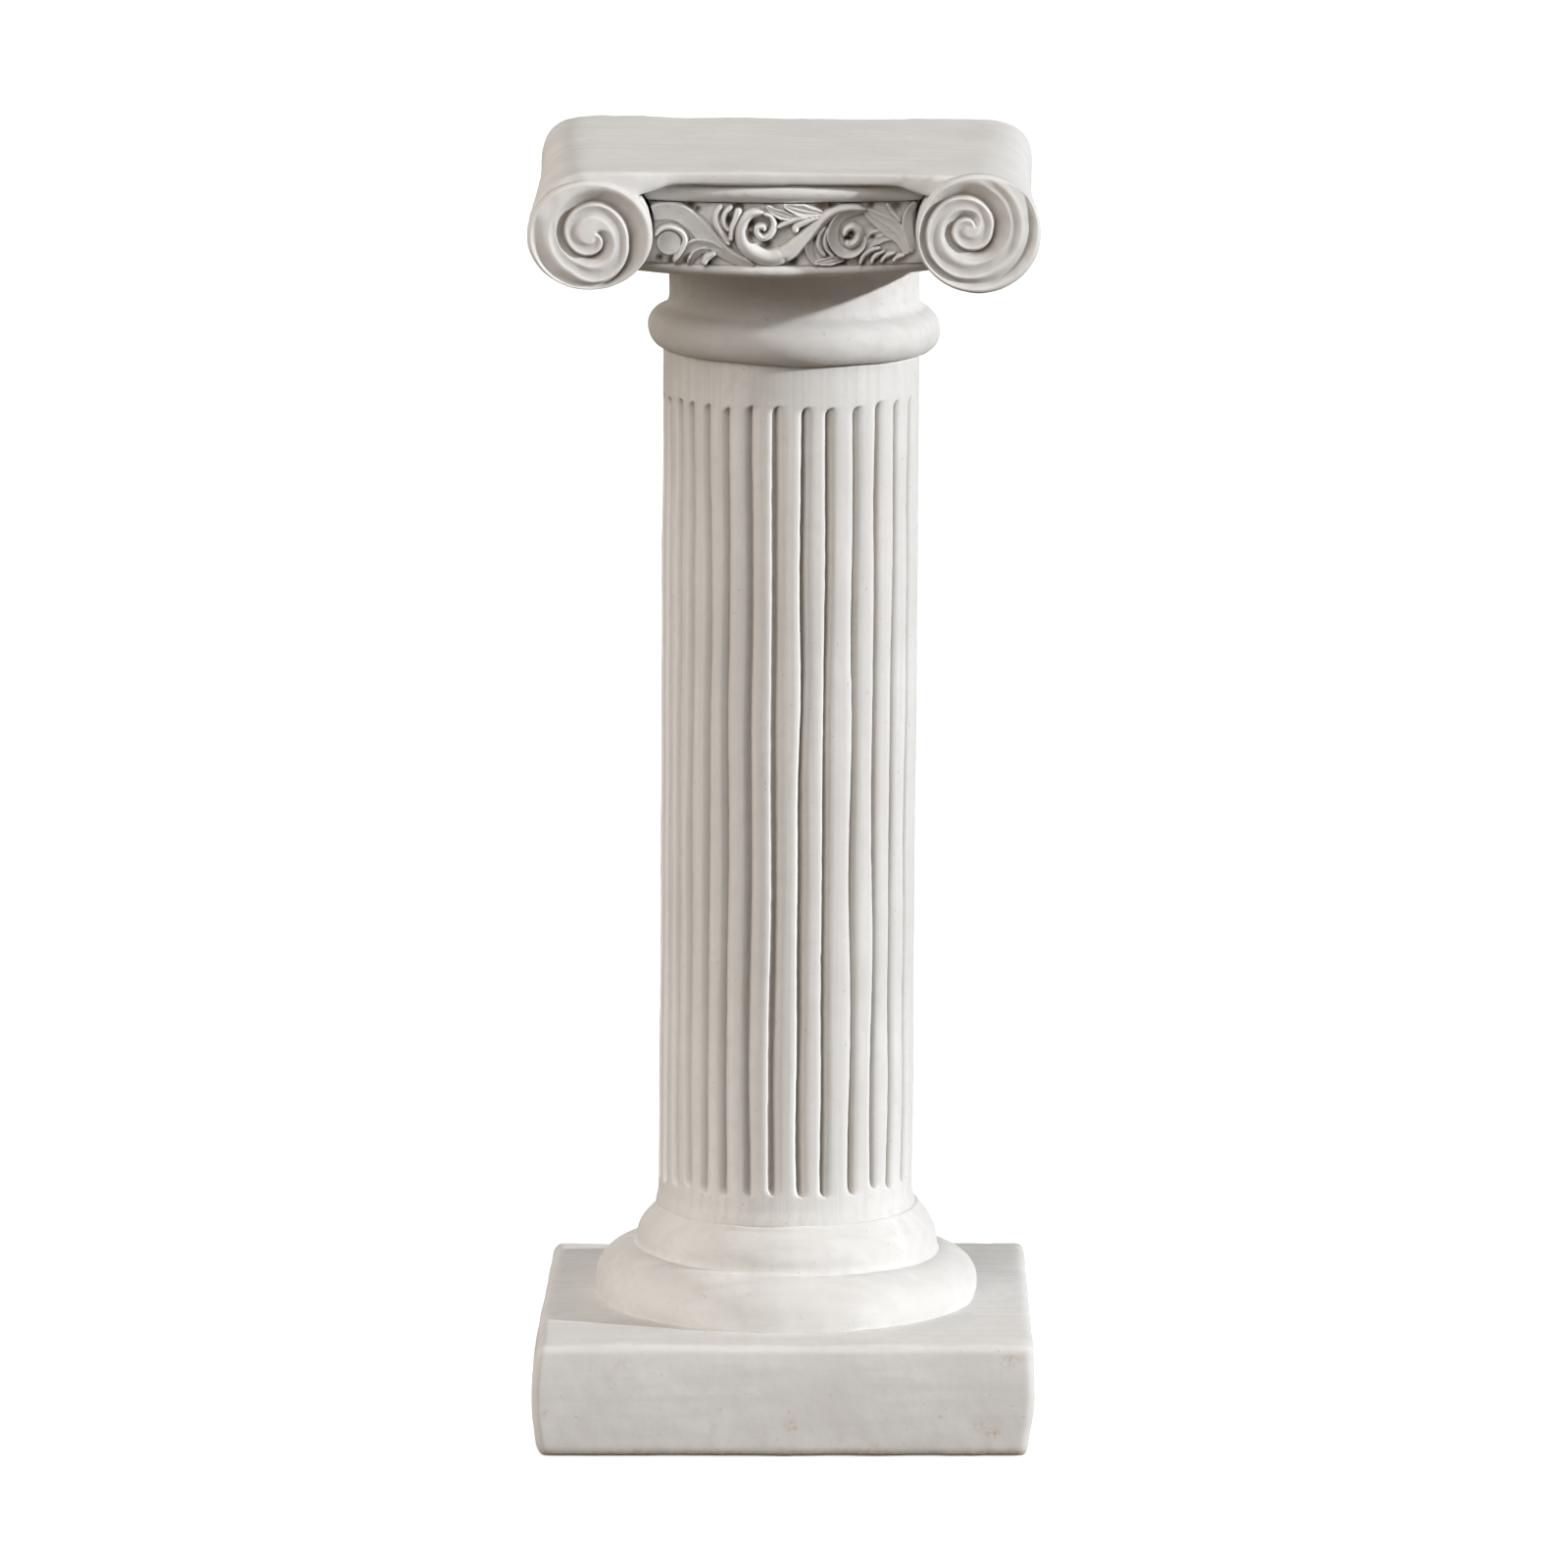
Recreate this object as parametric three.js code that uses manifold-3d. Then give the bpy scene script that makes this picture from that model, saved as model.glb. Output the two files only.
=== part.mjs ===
// Ionic pedestal column stand, about 257 mm tall. Millimetres, +Z up, the front faces -Y.
// Cast plaster drums stand on a square plinth and are drawn together by one threaded rod, with
// pins that stop the joints turning. The origin is the middle of the underside.
import * as THREE from 'three';
import { mergeVertices } from 'three/addons/utils/BufferGeometryUtils.js';
import Module from 'manifold-3d';

const wasm = await Module();
wasm.setup();

// Clearance between a casting and whatever passes through it or lies beside it.
const fitGap = 0.3;

// The stack, from the surface it stands on.
const feltThickness = 1.0;
const feltProud = 0.4;
const plinthHeight = 22.7;
const lowerTorusHeight = 9.7;
const upperTorusHeight = 9.0;
const shaftLength = 174.1;
const collarHeight = 19.8;
const drumHeight = 18.7;
const abacusThickness = 2.8;

// Plinth.
const plinthWidth = 100.8;
const plinthCornerRadius = 2.6;
const plinthEdgeRound = 1.8;
const feltInset = 3.5;

// Torus rings of the base.
const lowerTorusRadius = 38.6;
const upperTorusRadius = 31.2;

// Fluted shaft. The casting leans a little, so its head is further to the right than its foot.
const shaftRadius = 25.75;
const shaftBoreRadius = 12.0;
const shaftFootShift = 0.3;
const shaftHeadShift = 1.5;
const fluteCount = 31;
const fluteWidth = 3.7;
const fluteDepth = 1.0;
const fluteFootMargin = 6.4;
const fluteHeadMargin = 8.2;
const fluteTipWidth = 0.5;
const plugThickness = 11.0;

// Neck and astragal collar.
const neckRadius = 25.0;
const astragalRadius = 29.3;
const astragalHeight = 10.4;
const collarShift = 2.0;

// Capital: echinus drum with the frieze, and the abacus block with its two bolsters.
const bolsterCentre = 38.0;
const bolsterHalfWidth = 12.3;
const bolsterHalfHeight = 11.6;
const bolsterHalfLength = 48.9;
const bolsterWaist = 1.8;
const abacusSetback = 3.3;
const drumSetback = 0.8;
const drumHalfWidth = 30.0;
const drumUnderCurve = 42.0;
const drumFaceCurve = 80.0;
const drumBandHeight = 2.2;
const friezeRecess = 2.6;
const friezeHeight = 12.2;
const beadRise = 0.7;
const mortiseWidth = 24.0;
const mortiseDepth = 13.9;
const tenonLength = 10.8;
const nutPocketRadius = 7.0;
const nutPocketDepth = 8.4;

// Relief that is cast flat and planted on: frieze strips and volute scrolls.
const friezePanelThickness = 0.8;
const friezeReliefHeight = 1.5;
const reliefSink = 0.3;
const scrollThickness = 1.5;
const scrollRimRound = 0.9;
const scrollGrooveStart = 9.3;
const scrollGrooveEnd = 1.5;
const scrollGrooveWidth = 1.8;
const scrollGrooveDepth = 1.1;
const scrollTurns = 1.35;
const scrollStartAngle = -68;

// Hardware: one M6 rod with a nut and a wide washer at each end, and four plain pins.
const rodRadius = 3.0;
const rodClearance = 0.5;
const rodStandsPastNut = 2.0;
const washerRadius = 9.0;
const washerThickness = 1.6;
const nutAcrossFlats = 10.0;
const nutHeight = 5.2;
const footRecessRadius = 12.0;
const footRecessDepth = 12.0;
const pinRadius = 2.5;
const basePinInPlinth = 11.0;
const basePinInShaft = 14.0;
const capPinInShaft = 13.0;
const capPinInDrum = 7.5;

// How finely round shapes are faceted.
const roundSegments = 40;
const smallSegments = 20;

// Levels that follow from the stack.
const plinthBottom = feltProud;
const plinthTop = plinthBottom + plinthHeight;
const lowerTorusTop = plinthTop + lowerTorusHeight;
const shaftFoot = lowerTorusTop + upperTorusHeight;
const shaftHead = shaftFoot + shaftLength;
const drumBottom = shaftHead + collarHeight;
const drumTop = drumBottom + drumHeight;
const abacusTop = drumTop + abacusThickness;
const bolsterAxis = abacusTop - bolsterHalfHeight;
const abacusHalfDepth = bolsterHalfLength - abacusSetback;
const drumReach = abacusHalfDepth - drumSetback;
const friezeBottom = drumBottom + drumBandHeight + 0.2;
const friezeTop = friezeBottom + friezeHeight;
const mortiseFloor = drumTop - mortiseDepth;
const footRecessTop = plinthBottom + footRecessDepth;
const pinOffset = (shaftBoreRadius + shaftRadius) / 2;

const material = (name, color, roughness, metalness) => {
  const made = new THREE.MeshStandardMaterial({ color, roughness, metalness });
  made.name = name;
  return made;
};
const plaster = material('plaster', 0xe9e6e1, 0.85, 0.0);
const steel = material('zinc_steel', 0xb4b8bb, 0.4, 0.9);
const beech = material('beech_wood', 0xc9a577, 0.7, 0.0);
const felt = material('felt', 0x8f8a80, 0.95, 0.0);

const group = new THREE.Group();

// ---- Helpers that turn geometry into solids ----

// A closed mesh as a solid, with its faces turned outwards.
function solid(geometry) {
  geometry.deleteAttribute('normal');
  geometry.deleteAttribute('uv');
  const merged = mergeVertices(geometry, 1e-4);
  const points = merged.getAttribute('position').array;
  const corners = merged.getIndex().array;
  const triangles = [];
  let volume = 0;
  for (let i = 0; i < corners.length; i += 3) {
    const [a, b, c] = [corners[i], corners[i + 1], corners[i + 2]];
    if (a !== b && b !== c && c !== a) {
      triangles.push([a, b, c]);
      const [p, q, r] = [a, b, c].map((v) => new THREE.Vector3().fromArray(points, 3 * v));
      volume += p.dot(q.cross(r));
    }
  }
  if (volume < 0) {
    triangles.forEach((triangle) => triangle.reverse());
  }
  return new wasm.Manifold(new wasm.Mesh({
    numProp: 3,
    vertProperties: new Float32Array(points),
    triVerts: new Uint32Array(triangles.flat()),
  }));
}

// A skin through rings with the same number of points each, closed by a fan at both ends.
function loft(rings) {
  const count = rings[0].length;
  const points = rings.flat();
  const faces = [];
  for (let ring = 0; ring + 1 < rings.length; ring++) {
    for (let i = 0; i < count; i++) {
      const a = ring * count + i;
      const b = ring * count + ((i + 1) % count);
      faces.push(a, b, b + count, a, b + count, a + count);
    }
  }
  for (const [ring, flip] of [[0, true], [rings.length - 1, false]]) {
    const middle = rings[ring].reduce((sum, p) => sum.add(p), new THREE.Vector3());
    const hub = points.push(middle.divideScalar(count)) - 1;
    for (let i = 0; i < count; i++) {
      const a = ring * count + i;
      const b = ring * count + ((i + 1) % count);
      faces.push(hub, flip ? b : a, flip ? a : b);
    }
  }
  const geometry = new THREE.BufferGeometry().setFromPoints(points);
  geometry.setIndex(faces);
  return geometry;
}

// A turned piece: [radius, height] pairs, starting and ending on the axis.
function turned(profile, shift = 0) {
  const outline = profile.map(([radius, height]) => new THREE.Vector2(radius, height));
  return new THREE.LatheGeometry(outline, roundSegments).rotateX(Math.PI / 2).translate(shift, 0, 0);
}

// A round bar or round hole along Z, between two heights.
function bar(radius, bottom, top, x = 0, y = 0, segments = smallSegments) {
  const shape = new THREE.CylinderGeometry(radius, radius, top - bottom, segments);
  return shape.rotateX(Math.PI / 2).translate(x, y, (bottom + top) / 2);
}

function block(width, depth, bottom, top) {
  return new THREE.BoxGeometry(width, depth, top - bottom).translate(0, 0, (bottom + top) / 2);
}

function cut(body, ...cutters) {
  return cutters.reduce((rest, cutter) => rest.subtract(solid(cutter)), body);
}

function join(first, ...others) {
  return others.reduce((whole, other) => whole.add(other), first);
}

function addPiece(name, body, look) {
  const mesh = body.getMesh();
  const geometry = new THREE.BufferGeometry();
  geometry.setAttribute('position', new THREE.BufferAttribute(Float32Array.from(mesh.vertProperties), 3));
  geometry.setIndex(new THREE.BufferAttribute(Uint32Array.from(mesh.triVerts), 1));
  geometry.computeVertexNormals();
  const piece = new THREE.Mesh(geometry, look);
  piece.name = name;
  group.add(piece);
  return piece;
}

// The same piece turned half round the column's axis, for the back.
function addBackCopy(name, front) {
  const piece = new THREE.Mesh(front.geometry, front.material);
  piece.name = name;
  piece.rotation.z = Math.PI;
  group.add(piece);
}

// ---- What passes through the stack ----

const rodHole = (bottom, top) => bar(rodRadius + rodClearance, bottom, top);
const pinHoles = (bottom, top) => [-pinOffset, pinOffset].map(
  (x) => bar(pinRadius + fitGap, bottom, top, x));

// ---- Felt and plinth ----

function roundedSquare(width, radius) {
  const half = width / 2 - radius;
  const shape = new THREE.Shape();
  shape.absarc(half, half, radius, 0, Math.PI / 2);
  shape.absarc(-half, half, radius, Math.PI / 2, Math.PI);
  shape.absarc(-half, -half, radius, Math.PI, Math.PI * 1.5);
  shape.absarc(half, -half, radius, Math.PI * 1.5, Math.PI * 2);
  return shape;
}

function plate(outline, depth) {
  return new THREE.ExtrudeGeometry(outline, { depth, bevelEnabled: false, curveSegments: 4 });
}

function makeFelt() {
  const outline = roundedSquare(plinthWidth - 2 * feltInset, plinthCornerRadius);
  return solid(plate(outline, feltThickness));
}

function makePlinth() {
  const flatWidth = plinthWidth - 2 * plinthEdgeRound;
  const body = new THREE.ExtrudeGeometry(roundedSquare(flatWidth, plinthCornerRadius), {
    depth: plinthHeight - 2 * plinthEdgeRound,
    bevelThickness: plinthEdgeRound,
    bevelSize: plinthEdgeRound,
    bevelSegments: 4,
    curveSegments: 4,
  }).translate(0, 0, plinthBottom + plinthEdgeRound);
  const seatWidth = plinthWidth - 2 * feltInset + 2 * fitGap;
  const feltSeat = plate(roundedSquare(seatWidth, plinthCornerRadius), feltThickness);
  const nutRecess = bar(footRecessRadius, -1, footRecessTop);
  const above = plinthTop + 1;
  const pins = pinHoles(plinthTop - basePinInPlinth, above);
  return cut(solid(body), feltSeat, nutRecess, rodHole(0, above), ...pins);
}

// ---- Base rings ----

function makeLowerTorus() {
  const r = lowerTorusRadius;
  const h = lowerTorusHeight;
  const z = plinthTop;
  const body = turned([
    [0, z], [r - 1.4, z], [r - 0.3, z + 0.17 * h], [r, z + 0.37 * h], [r - 0.5, z + 0.55 * h],
    [r - 1.9, z + 0.73 * h], [r - 3.7, z + 0.86 * h], [r - 5.8, z + 0.95 * h], [r - 6.6, z + h], [0, z + h],
  ]);
  return cut(solid(body), rodHole(z - 1, z + h + 1), ...pinHoles(z - 1, z + h + 1));
}

function makeUpperTorus() {
  const r = upperTorusRadius;
  const h = upperTorusHeight;
  const z = lowerTorusTop;
  const body = turned([
    [0, z], [r - 0.7, z], [r, z + 0.14 * h], [r - 0.6, z + 0.28 * h], [r - 1.4, z + 0.42 * h],
    [r - 2.0, z + 0.62 * h], [r - 3.2, z + 0.8 * h], [r - 4.9, z + 0.93 * h], [r - 5.2, z + h], [0, z + h],
  ]);
  return cut(solid(body), rodHole(z - 1, z + h + 1), ...pinHoles(z - 1, z + h + 1));
}

// ---- Shaft ----

// One ring of the shaft's skin. Each flute takes four points across its hollow.
function shaftRing(z, width, depth) {
  const lean = (z - shaftFoot) / shaftLength;
  const shift = shaftFootShift + (shaftHeadShift - shaftFootShift) * lean;
  const ring = [];
  for (let flute = 0; flute < fluteCount; flute++) {
    for (const across of [-1, -0.5, 0.5, 1]) {
      const angle = (2 * Math.PI * flute) / fluteCount + (across * width) / (2 * shaftRadius);
      const radius = Math.abs(across) < 1 ? shaftRadius - depth : shaftRadius;
      ring.push(new THREE.Vector3(shift + radius * Math.cos(angle), radius * Math.sin(angle), z));
    }
  }
  return ring;
}

function makeShaft() {
  const fluteFoot = shaftFoot + fluteFootMargin;
  const fluteHead = shaftHead - fluteHeadMargin;
  const endAngles = [0, 30, 60, 90].map(THREE.MathUtils.degToRad);
  const endRing = (tip, inward, angle) => shaftRing(
    tip + inward * (fluteWidth / 2) * (1 - Math.cos(angle)),
    Math.max(fluteTipWidth, fluteWidth * Math.sin(angle)),
    fluteDepth * Math.sin(angle));
  const rings = [
    shaftRing(shaftFoot, fluteTipWidth, 0),
    ...endAngles.map((angle) => endRing(fluteFoot, 1, angle)),
    ...endAngles.reverse().map((angle) => endRing(fluteHead, -1, angle)),
    shaftRing(shaftHead, fluteTipWidth, 0),
  ];
  const bore = bar(shaftBoreRadius, shaftFoot - 1, shaftHead + 1, 0, 0, roundSegments);
  return cut(
    solid(loft(rings)), bore,
    ...pinHoles(shaftFoot - 1, shaftFoot + basePinInShaft),
    ...pinHoles(shaftHead - capPinInShaft, shaftHead + 1));
}

function makePlug(bottom) {
  const disc = bar(shaftBoreRadius - fitGap, bottom, bottom + plugThickness, 0, 0, roundSegments);
  return cut(solid(disc), rodHole(bottom - 1, bottom + plugThickness + 1));
}

// ---- Neck and astragal ----

function makeCollar() {
  const n = neckRadius;
  const a = astragalRadius;
  const h = astragalHeight;
  const z = shaftHead;
  const body = turned([
    [0, z], [n + 1.3, z], [a - 1.7, z + 0.08 * h], [a - 0.5, z + 0.22 * h], [a, z + 0.45 * h],
    [a - 0.5, z + 0.64 * h], [a - 1.7, z + 0.78 * h], [n + 1.0, z + 0.9 * h], [n, z + h],
    [n + 0.2, drumBottom], [0, drumBottom],
  ], collarShift);
  return cut(solid(body), rodHole(z - 1, drumBottom + 1), ...pinHoles(z - 1, drumBottom + 1));
}

// ---- Capital ----

// Plan outline of the drum at one level: curved front and back, straight sides.
function drumRing(z, reach, curve) {
  const steps = 12;
  const ring = [];
  for (const side of [-1, 1]) {
    for (let i = 0; i <= steps; i++) {
      const x = -side * drumHalfWidth * ((2 * i) / steps - 1);
      ring.push(new THREE.Vector3(x, side * (reach - (x * x) / (2 * curve)), z));
    }
  }
  return ring;
}

// A bolster lies along Y. It is flush with the abacus on top and a little slimmer at half length.
function bolsterShape(side, gap) {
  const stations = 6;
  const rings = [];
  for (let i = 0; i <= stations; i++) {
    const along = (2 * i) / stations - 1;
    const waist = bolsterWaist * (1 - along * along);
    const halfHeight = bolsterHalfHeight - waist / 2;
    rings.push(Array.from({ length: roundSegments }, (_, step) => {
      const angle = (2 * Math.PI * step) / roundSegments;
      return new THREE.Vector3(
        side * bolsterCentre + (bolsterHalfWidth - waist / 2 + gap) * Math.cos(angle),
        along * bolsterHalfLength,
        abacusTop - halfHeight + (halfHeight + gap) * Math.sin(angle));
    }));
  }
  return loft(rings);
}

function makeDrum() {
  const back = drumReach - friezeRecess;
  const beadMiddle = (friezeTop + drumTop) / 2;
  const profile = [
    [drumBottom, drumReach - 1.0, drumUnderCurve],
    [drumBottom + 0.5, drumReach, drumUnderCurve + 4],
    [friezeBottom - 0.3, drumReach, (drumUnderCurve + drumFaceCurve) / 2],
    [friezeBottom - 0.1, back, drumFaceCurve],
    [friezeTop + 0.1, back, drumFaceCurve],
    [friezeTop + 0.5, drumReach - 0.4, drumFaceCurve],
    [beadMiddle - 0.9, drumReach + beadRise - 0.3, drumFaceCurve],
    [beadMiddle, drumReach + beadRise, drumFaceCurve],
    [beadMiddle + 0.9, drumReach + beadRise - 0.3, drumFaceCurve],
    [drumTop - 0.7, drumReach - 1.2, drumFaceCurve],
    [drumTop, drumReach - 1.4, drumFaceCurve],
  ];
  const body = solid(loft(profile.map(([z, reach, curve]) => drumRing(z, reach, curve))));
  return cut(
    body, bolsterShape(-1, fitGap), bolsterShape(1, fitGap),
    block(mortiseWidth, mortiseWidth, mortiseFloor, drumTop + 1),
    rodHole(drumBottom - 1, drumTop), ...pinHoles(drumBottom - 1, drumBottom + capPinInDrum));
}

function makeAbacusBlock() {
  const slab = block(2 * bolsterCentre, 2 * abacusHalfDepth, drumTop, abacusTop);
  const tenonWidth = mortiseWidth - 2 * fitGap;
  const tenon = block(tenonWidth, tenonWidth, drumTop - tenonLength, drumTop + 1);
  const body = join(solid(slab), solid(tenon), solid(bolsterShape(-1, 0)), solid(bolsterShape(1, 0)));
  const pocketFoot = drumTop - tenonLength;
  return cut(body, bar(nutPocketRadius, pocketFoot - 1, pocketFoot + nutPocketDepth));
}

// ---- Planted relief ----

// The frieze's own surface: across x, up z, and out from the panel by rise.
function friezePoint(x, z, rise) {
  const face = drumReach - friezeRecess + fitGap + friezePanelThickness;
  return new THREE.Vector3(x, (x * x) / (2 * drumFaceCurve) - face - rise, z);
}

function friezePanel() {
  const steps = 14;
  const halfWidth = drumHalfWidth - 1;
  const ring = (z) => {
    const front = [];
    const rear = [];
    for (let i = 0; i <= steps; i++) {
      const x = halfWidth * ((2 * i) / steps - 1);
      front.push(friezePoint(x, z, 0));
      rear.unshift(friezePoint(x, z, -friezePanelThickness));
    }
    return [...front, ...rear];
  };
  return solid(loft([ring(friezeBottom), ring(friezeTop)]));
}

// A rounded ridge that follows a path across the frieze, narrow at both ends.
function ridge(path, width, height) {
  const steps = 2 * (path.length - 1);
  const curve = new THREE.CatmullRomCurve3(
    path.map(([x, up]) => new THREE.Vector3(x, 0, friezeBottom + up)), false, 'centripetal');
  const rings = [];
  for (let i = 0; i <= steps; i++) {
    const along = i / steps;
    const at = curve.getPoint(along);
    const tangent = curve.getTangent(along);
    const swell = Math.max(0.3, Math.sin(Math.PI * (0.12 + 0.8 * along)));
    const half = (width * swell) / 2;
    const rise = height * Math.max(0.45, swell);
    rings.push([[-1, -reliefSink], [-0.5, 0.9 * rise], [0.5, 0.9 * rise], [1, -reliefSink]].map(
      ([side, out]) => friezePoint(at.x - side * half * tangent.z, at.z + side * half * tangent.x, out)));
  }
  return solid(loft(rings));
}

// A low dome on the frieze, sunk a little into the panel.
function boss(x, up, radius, height) {
  const halfThickness = (height + reliefSink) / 2;
  const dome = new THREE.SphereGeometry(1, 10, 6).scale(radius, halfThickness, radius);
  const seat = friezePoint(x, friezeBottom + up, height - halfThickness);
  return solid(dome.translate(seat.x, seat.y, seat.z));
}

// Foliage of the frieze, as [path of [across, up] points, width]: an acanthus scroll that starts
// at the left volute, curls twice and ends in a leaf at the right volute.
const foliage = [
  [[[-25.2, 10.4], [-22.6, 11.9], [-19.2, 11.6], [-16.1, 8.8], [-13.0, 5.3], [-7.2, 0.9]], 2.4],
  [[[-20.9, 0.6], [-19.4, 2.9], [-16.8, 4.5], [-14.0, 4.3], [-11.7, 2.7]], 1.7],
  [[[-18.2, 0.5], [-16.8, 2.2], [-14.4, 2.9]], 1.3],
  [[[-14.4, 0.5], [-13.4, 1.9], [-11.6, 1.2]], 1.2],
  [[[-13.5, 11.7], [-13.3, 9.5], [-12.1, 6.7], [-10.8, 4.0]], 1.5],
  [[[-11.7, 11.7], [-11.7, 9.2], [-11.0, 5.7]], 1.3],
  [[[-9.3, 11.6], [-10.1, 8.8], [-10.4, 5.7]], 1.3],
  [[[-0.7, 11.7], [-4.1, 11.7], [-7.5, 10.5], [-8.7, 7.4], [-7.8, 3.6], [-4.8, 1.4], [-1.4, 1.2]], 2.0],
  [[[-6.4, 5.2], [-6.3, 8.2], [-3.4, 9.3], [-1.8, 7.4], [-3.2, 4.9]], 1.3],
  [[[-3.0, 1.0], [2.3, 3.2], [5.9, 7.1], [9.0, 10.2], [12.7, 11.6], [16.0, 10.8]], 2.2],
  [[[8.8, 9.8], [8.5, 6.0], [10.6, 1.8], [14.4, 1.4], [16.6, 4.4], [14.4, 7.6]], 1.5],
  [[[4.9, 0.6], [4.5, 3.2], [5.9, 5.8]], 1.4],
  [[[8.6, 0.8], [6.9, 3.3], [6.9, 6.7]], 1.3],
  [[[-0.3, 11.7], [3.1, 10.9], [6.9, 10.5]], 1.5],
  [[[-1.0, 9.9], [1.8, 9.2], [5.2, 9.3]], 1.3],
  [[[0.2, 7.4], [2.1, 7.3], [4.6, 8.0]], 1.2],
  [[[15.4, 10.6], [18.2, 8.9], [20.3, 6.4], [22.7, 3.3]], 2.0],
  [[[14.7, 0.6], [15.9, 2.9], [18.6, 3.8]], 1.1],
  [[[17.2, 0.6], [18.5, 2.2], [21.0, 2.9]], 1.1],
  [[[19.8, 0.6], [21.0, 1.7], [23.2, 2.3]], 1.0],
  [[[21.0, 11.5], [21.8, 8.8], [23.5, 5.8], [24.5, 2.9]], 1.4],
  [[[24.4, 11.5], [23.2, 9.5], [23.8, 6.7]], 1.2],
];
const bosses = [[-22.6, 4.6, 2.7], [-4.7, 7.1, 1.3], [12.5, 5.6, 1.6]];

function makeFrieze() {
  const relief = [
    ...foliage.map(([path, width]) => ridge(path, width, friezeReliefHeight)),
    ...bosses.map(([x, up, radius]) => boss(x, up, radius, friezeReliefHeight)),
  ];
  const field = solid(block(2 * drumHalfWidth, 2 * plinthWidth, friezeBottom, friezeTop));
  const strip = join(friezePanel(), ...relief).intersect(field);
  return cut(strip, bolsterShape(-1, fitGap), bolsterShape(1, fitGap));
}

// A volute's face: a rounded disc with a spiral groove cut from its lower inner side to the eye.
function makeScroll(side) {
  const onFace = (across, up, rise) => new THREE.Vector3(
    side * (bolsterCentre - across), -bolsterHalfLength - rise, bolsterAxis + up);
  const outline = (inset, rise) => Array.from({ length: roundSegments }, (_, i) => {
    const angle = (2 * Math.PI * i) / roundSegments;
    return onFace(
      (bolsterHalfWidth - inset) * Math.cos(angle), (bolsterHalfHeight - inset) * Math.sin(angle), rise);
  });
  const disc = loft([
    outline(0, 0), outline(0.2, 0.55 * scrollThickness), outline(scrollRimRound, scrollThickness),
  ]);
  const steps = 36;
  const channel = [];
  for (let i = 0; i <= steps; i++) {
    const along = i / steps;
    const angle = THREE.MathUtils.degToRad(scrollStartAngle + 360 * scrollTurns * along);
    const radius = scrollGrooveStart + (scrollGrooveEnd - scrollGrooveStart) * along;
    const half = (scrollGrooveWidth / 2) * Math.max(0.3, Math.min(1, 6 * along, 6 * (1 - along)));
    const depth = scrollGrooveDepth * (half / scrollGrooveWidth) * 2;
    channel.push([[half, 0.4], [-half, 0.4], [0, -depth]].map(([out, rise]) => onFace(
      (radius + out) * Math.cos(angle), (radius + out) * Math.sin(angle), scrollThickness + rise)));
  }
  return solid(disc).subtract(solid(loft(channel)));
}

// ---- Hardware ----

function makeWasher(bottom) {
  const disc = bar(washerRadius, bottom, bottom + washerThickness, 0, 0, roundSegments);
  return cut(solid(disc), bar(rodRadius + fitGap, bottom - 1, bottom + washerThickness + 1));
}

function makeNut(bottom) {
  const corner = nutAcrossFlats / (2 * Math.cos(Math.PI / 6));
  const hexagon = bar(corner, bottom, bottom + nutHeight, 0, 0, 6);
  return cut(solid(hexagon), bar(rodRadius + fitGap, bottom - 1, bottom + nutHeight + 1));
}

const footWasherBottom = footRecessTop - washerThickness;
const footNutBottom = footWasherBottom - nutHeight;
const capNutBottom = mortiseFloor + washerThickness;
const rodBottom = footNutBottom - rodStandsPastNut;
const rodTop = capNutBottom + nutHeight + rodStandsPastNut;

// ---- Assembly ----

addPiece('base_felt', makeFelt(), felt);
addPiece('plinth', makePlinth(), plaster);
addPiece('foot_washer', makeWasher(footWasherBottom), steel);
addPiece('foot_nut', makeNut(footNutBottom), steel);
addPiece('tie_rod', solid(bar(rodRadius, rodBottom, rodTop)), steel);
addPiece('lower_torus', makeLowerTorus(), plaster);
addPiece('upper_torus', makeUpperTorus(), plaster);
addPiece('fluted_shaft', makeShaft(), plaster);
addPiece('shaft_plug_bottom', makePlug(shaftFoot), beech);
addPiece('shaft_plug_top', makePlug(shaftHead - plugThickness), beech);
addPiece('neck_collar', makeCollar(), plaster);
addPiece('capital_drum', makeDrum(), plaster);
addPiece('cap_washer', makeWasher(mortiseFloor), steel);
addPiece('cap_nut', makeNut(capNutBottom), steel);
addPiece('abacus_block', makeAbacusBlock(), plaster);

const pinStacks = [
  ['base_pin', plinthTop - basePinInPlinth, shaftFoot + basePinInShaft - fitGap],
  ['cap_pin', shaftHead - capPinInShaft, drumBottom + capPinInDrum - fitGap],
];
for (const [name, bottom, top] of pinStacks) {
  for (const [hand, x] of [['left', -pinOffset], ['right', pinOffset]]) {
    addPiece(`${name}_${hand}`, solid(bar(pinRadius, bottom, top, x)), steel);
  }
}

const friezeFront = addPiece('frieze_front', makeFrieze(), plaster);
addBackCopy('frieze_back', friezeFront);
const scrollLeft = addPiece('scroll_front_left', makeScroll(-1), plaster);
const scrollRight = addPiece('scroll_front_right', makeScroll(1), plaster);
addBackCopy('scroll_back_right', scrollLeft);
addBackCopy('scroll_back_left', scrollRight);

export default group;
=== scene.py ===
import math

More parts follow.
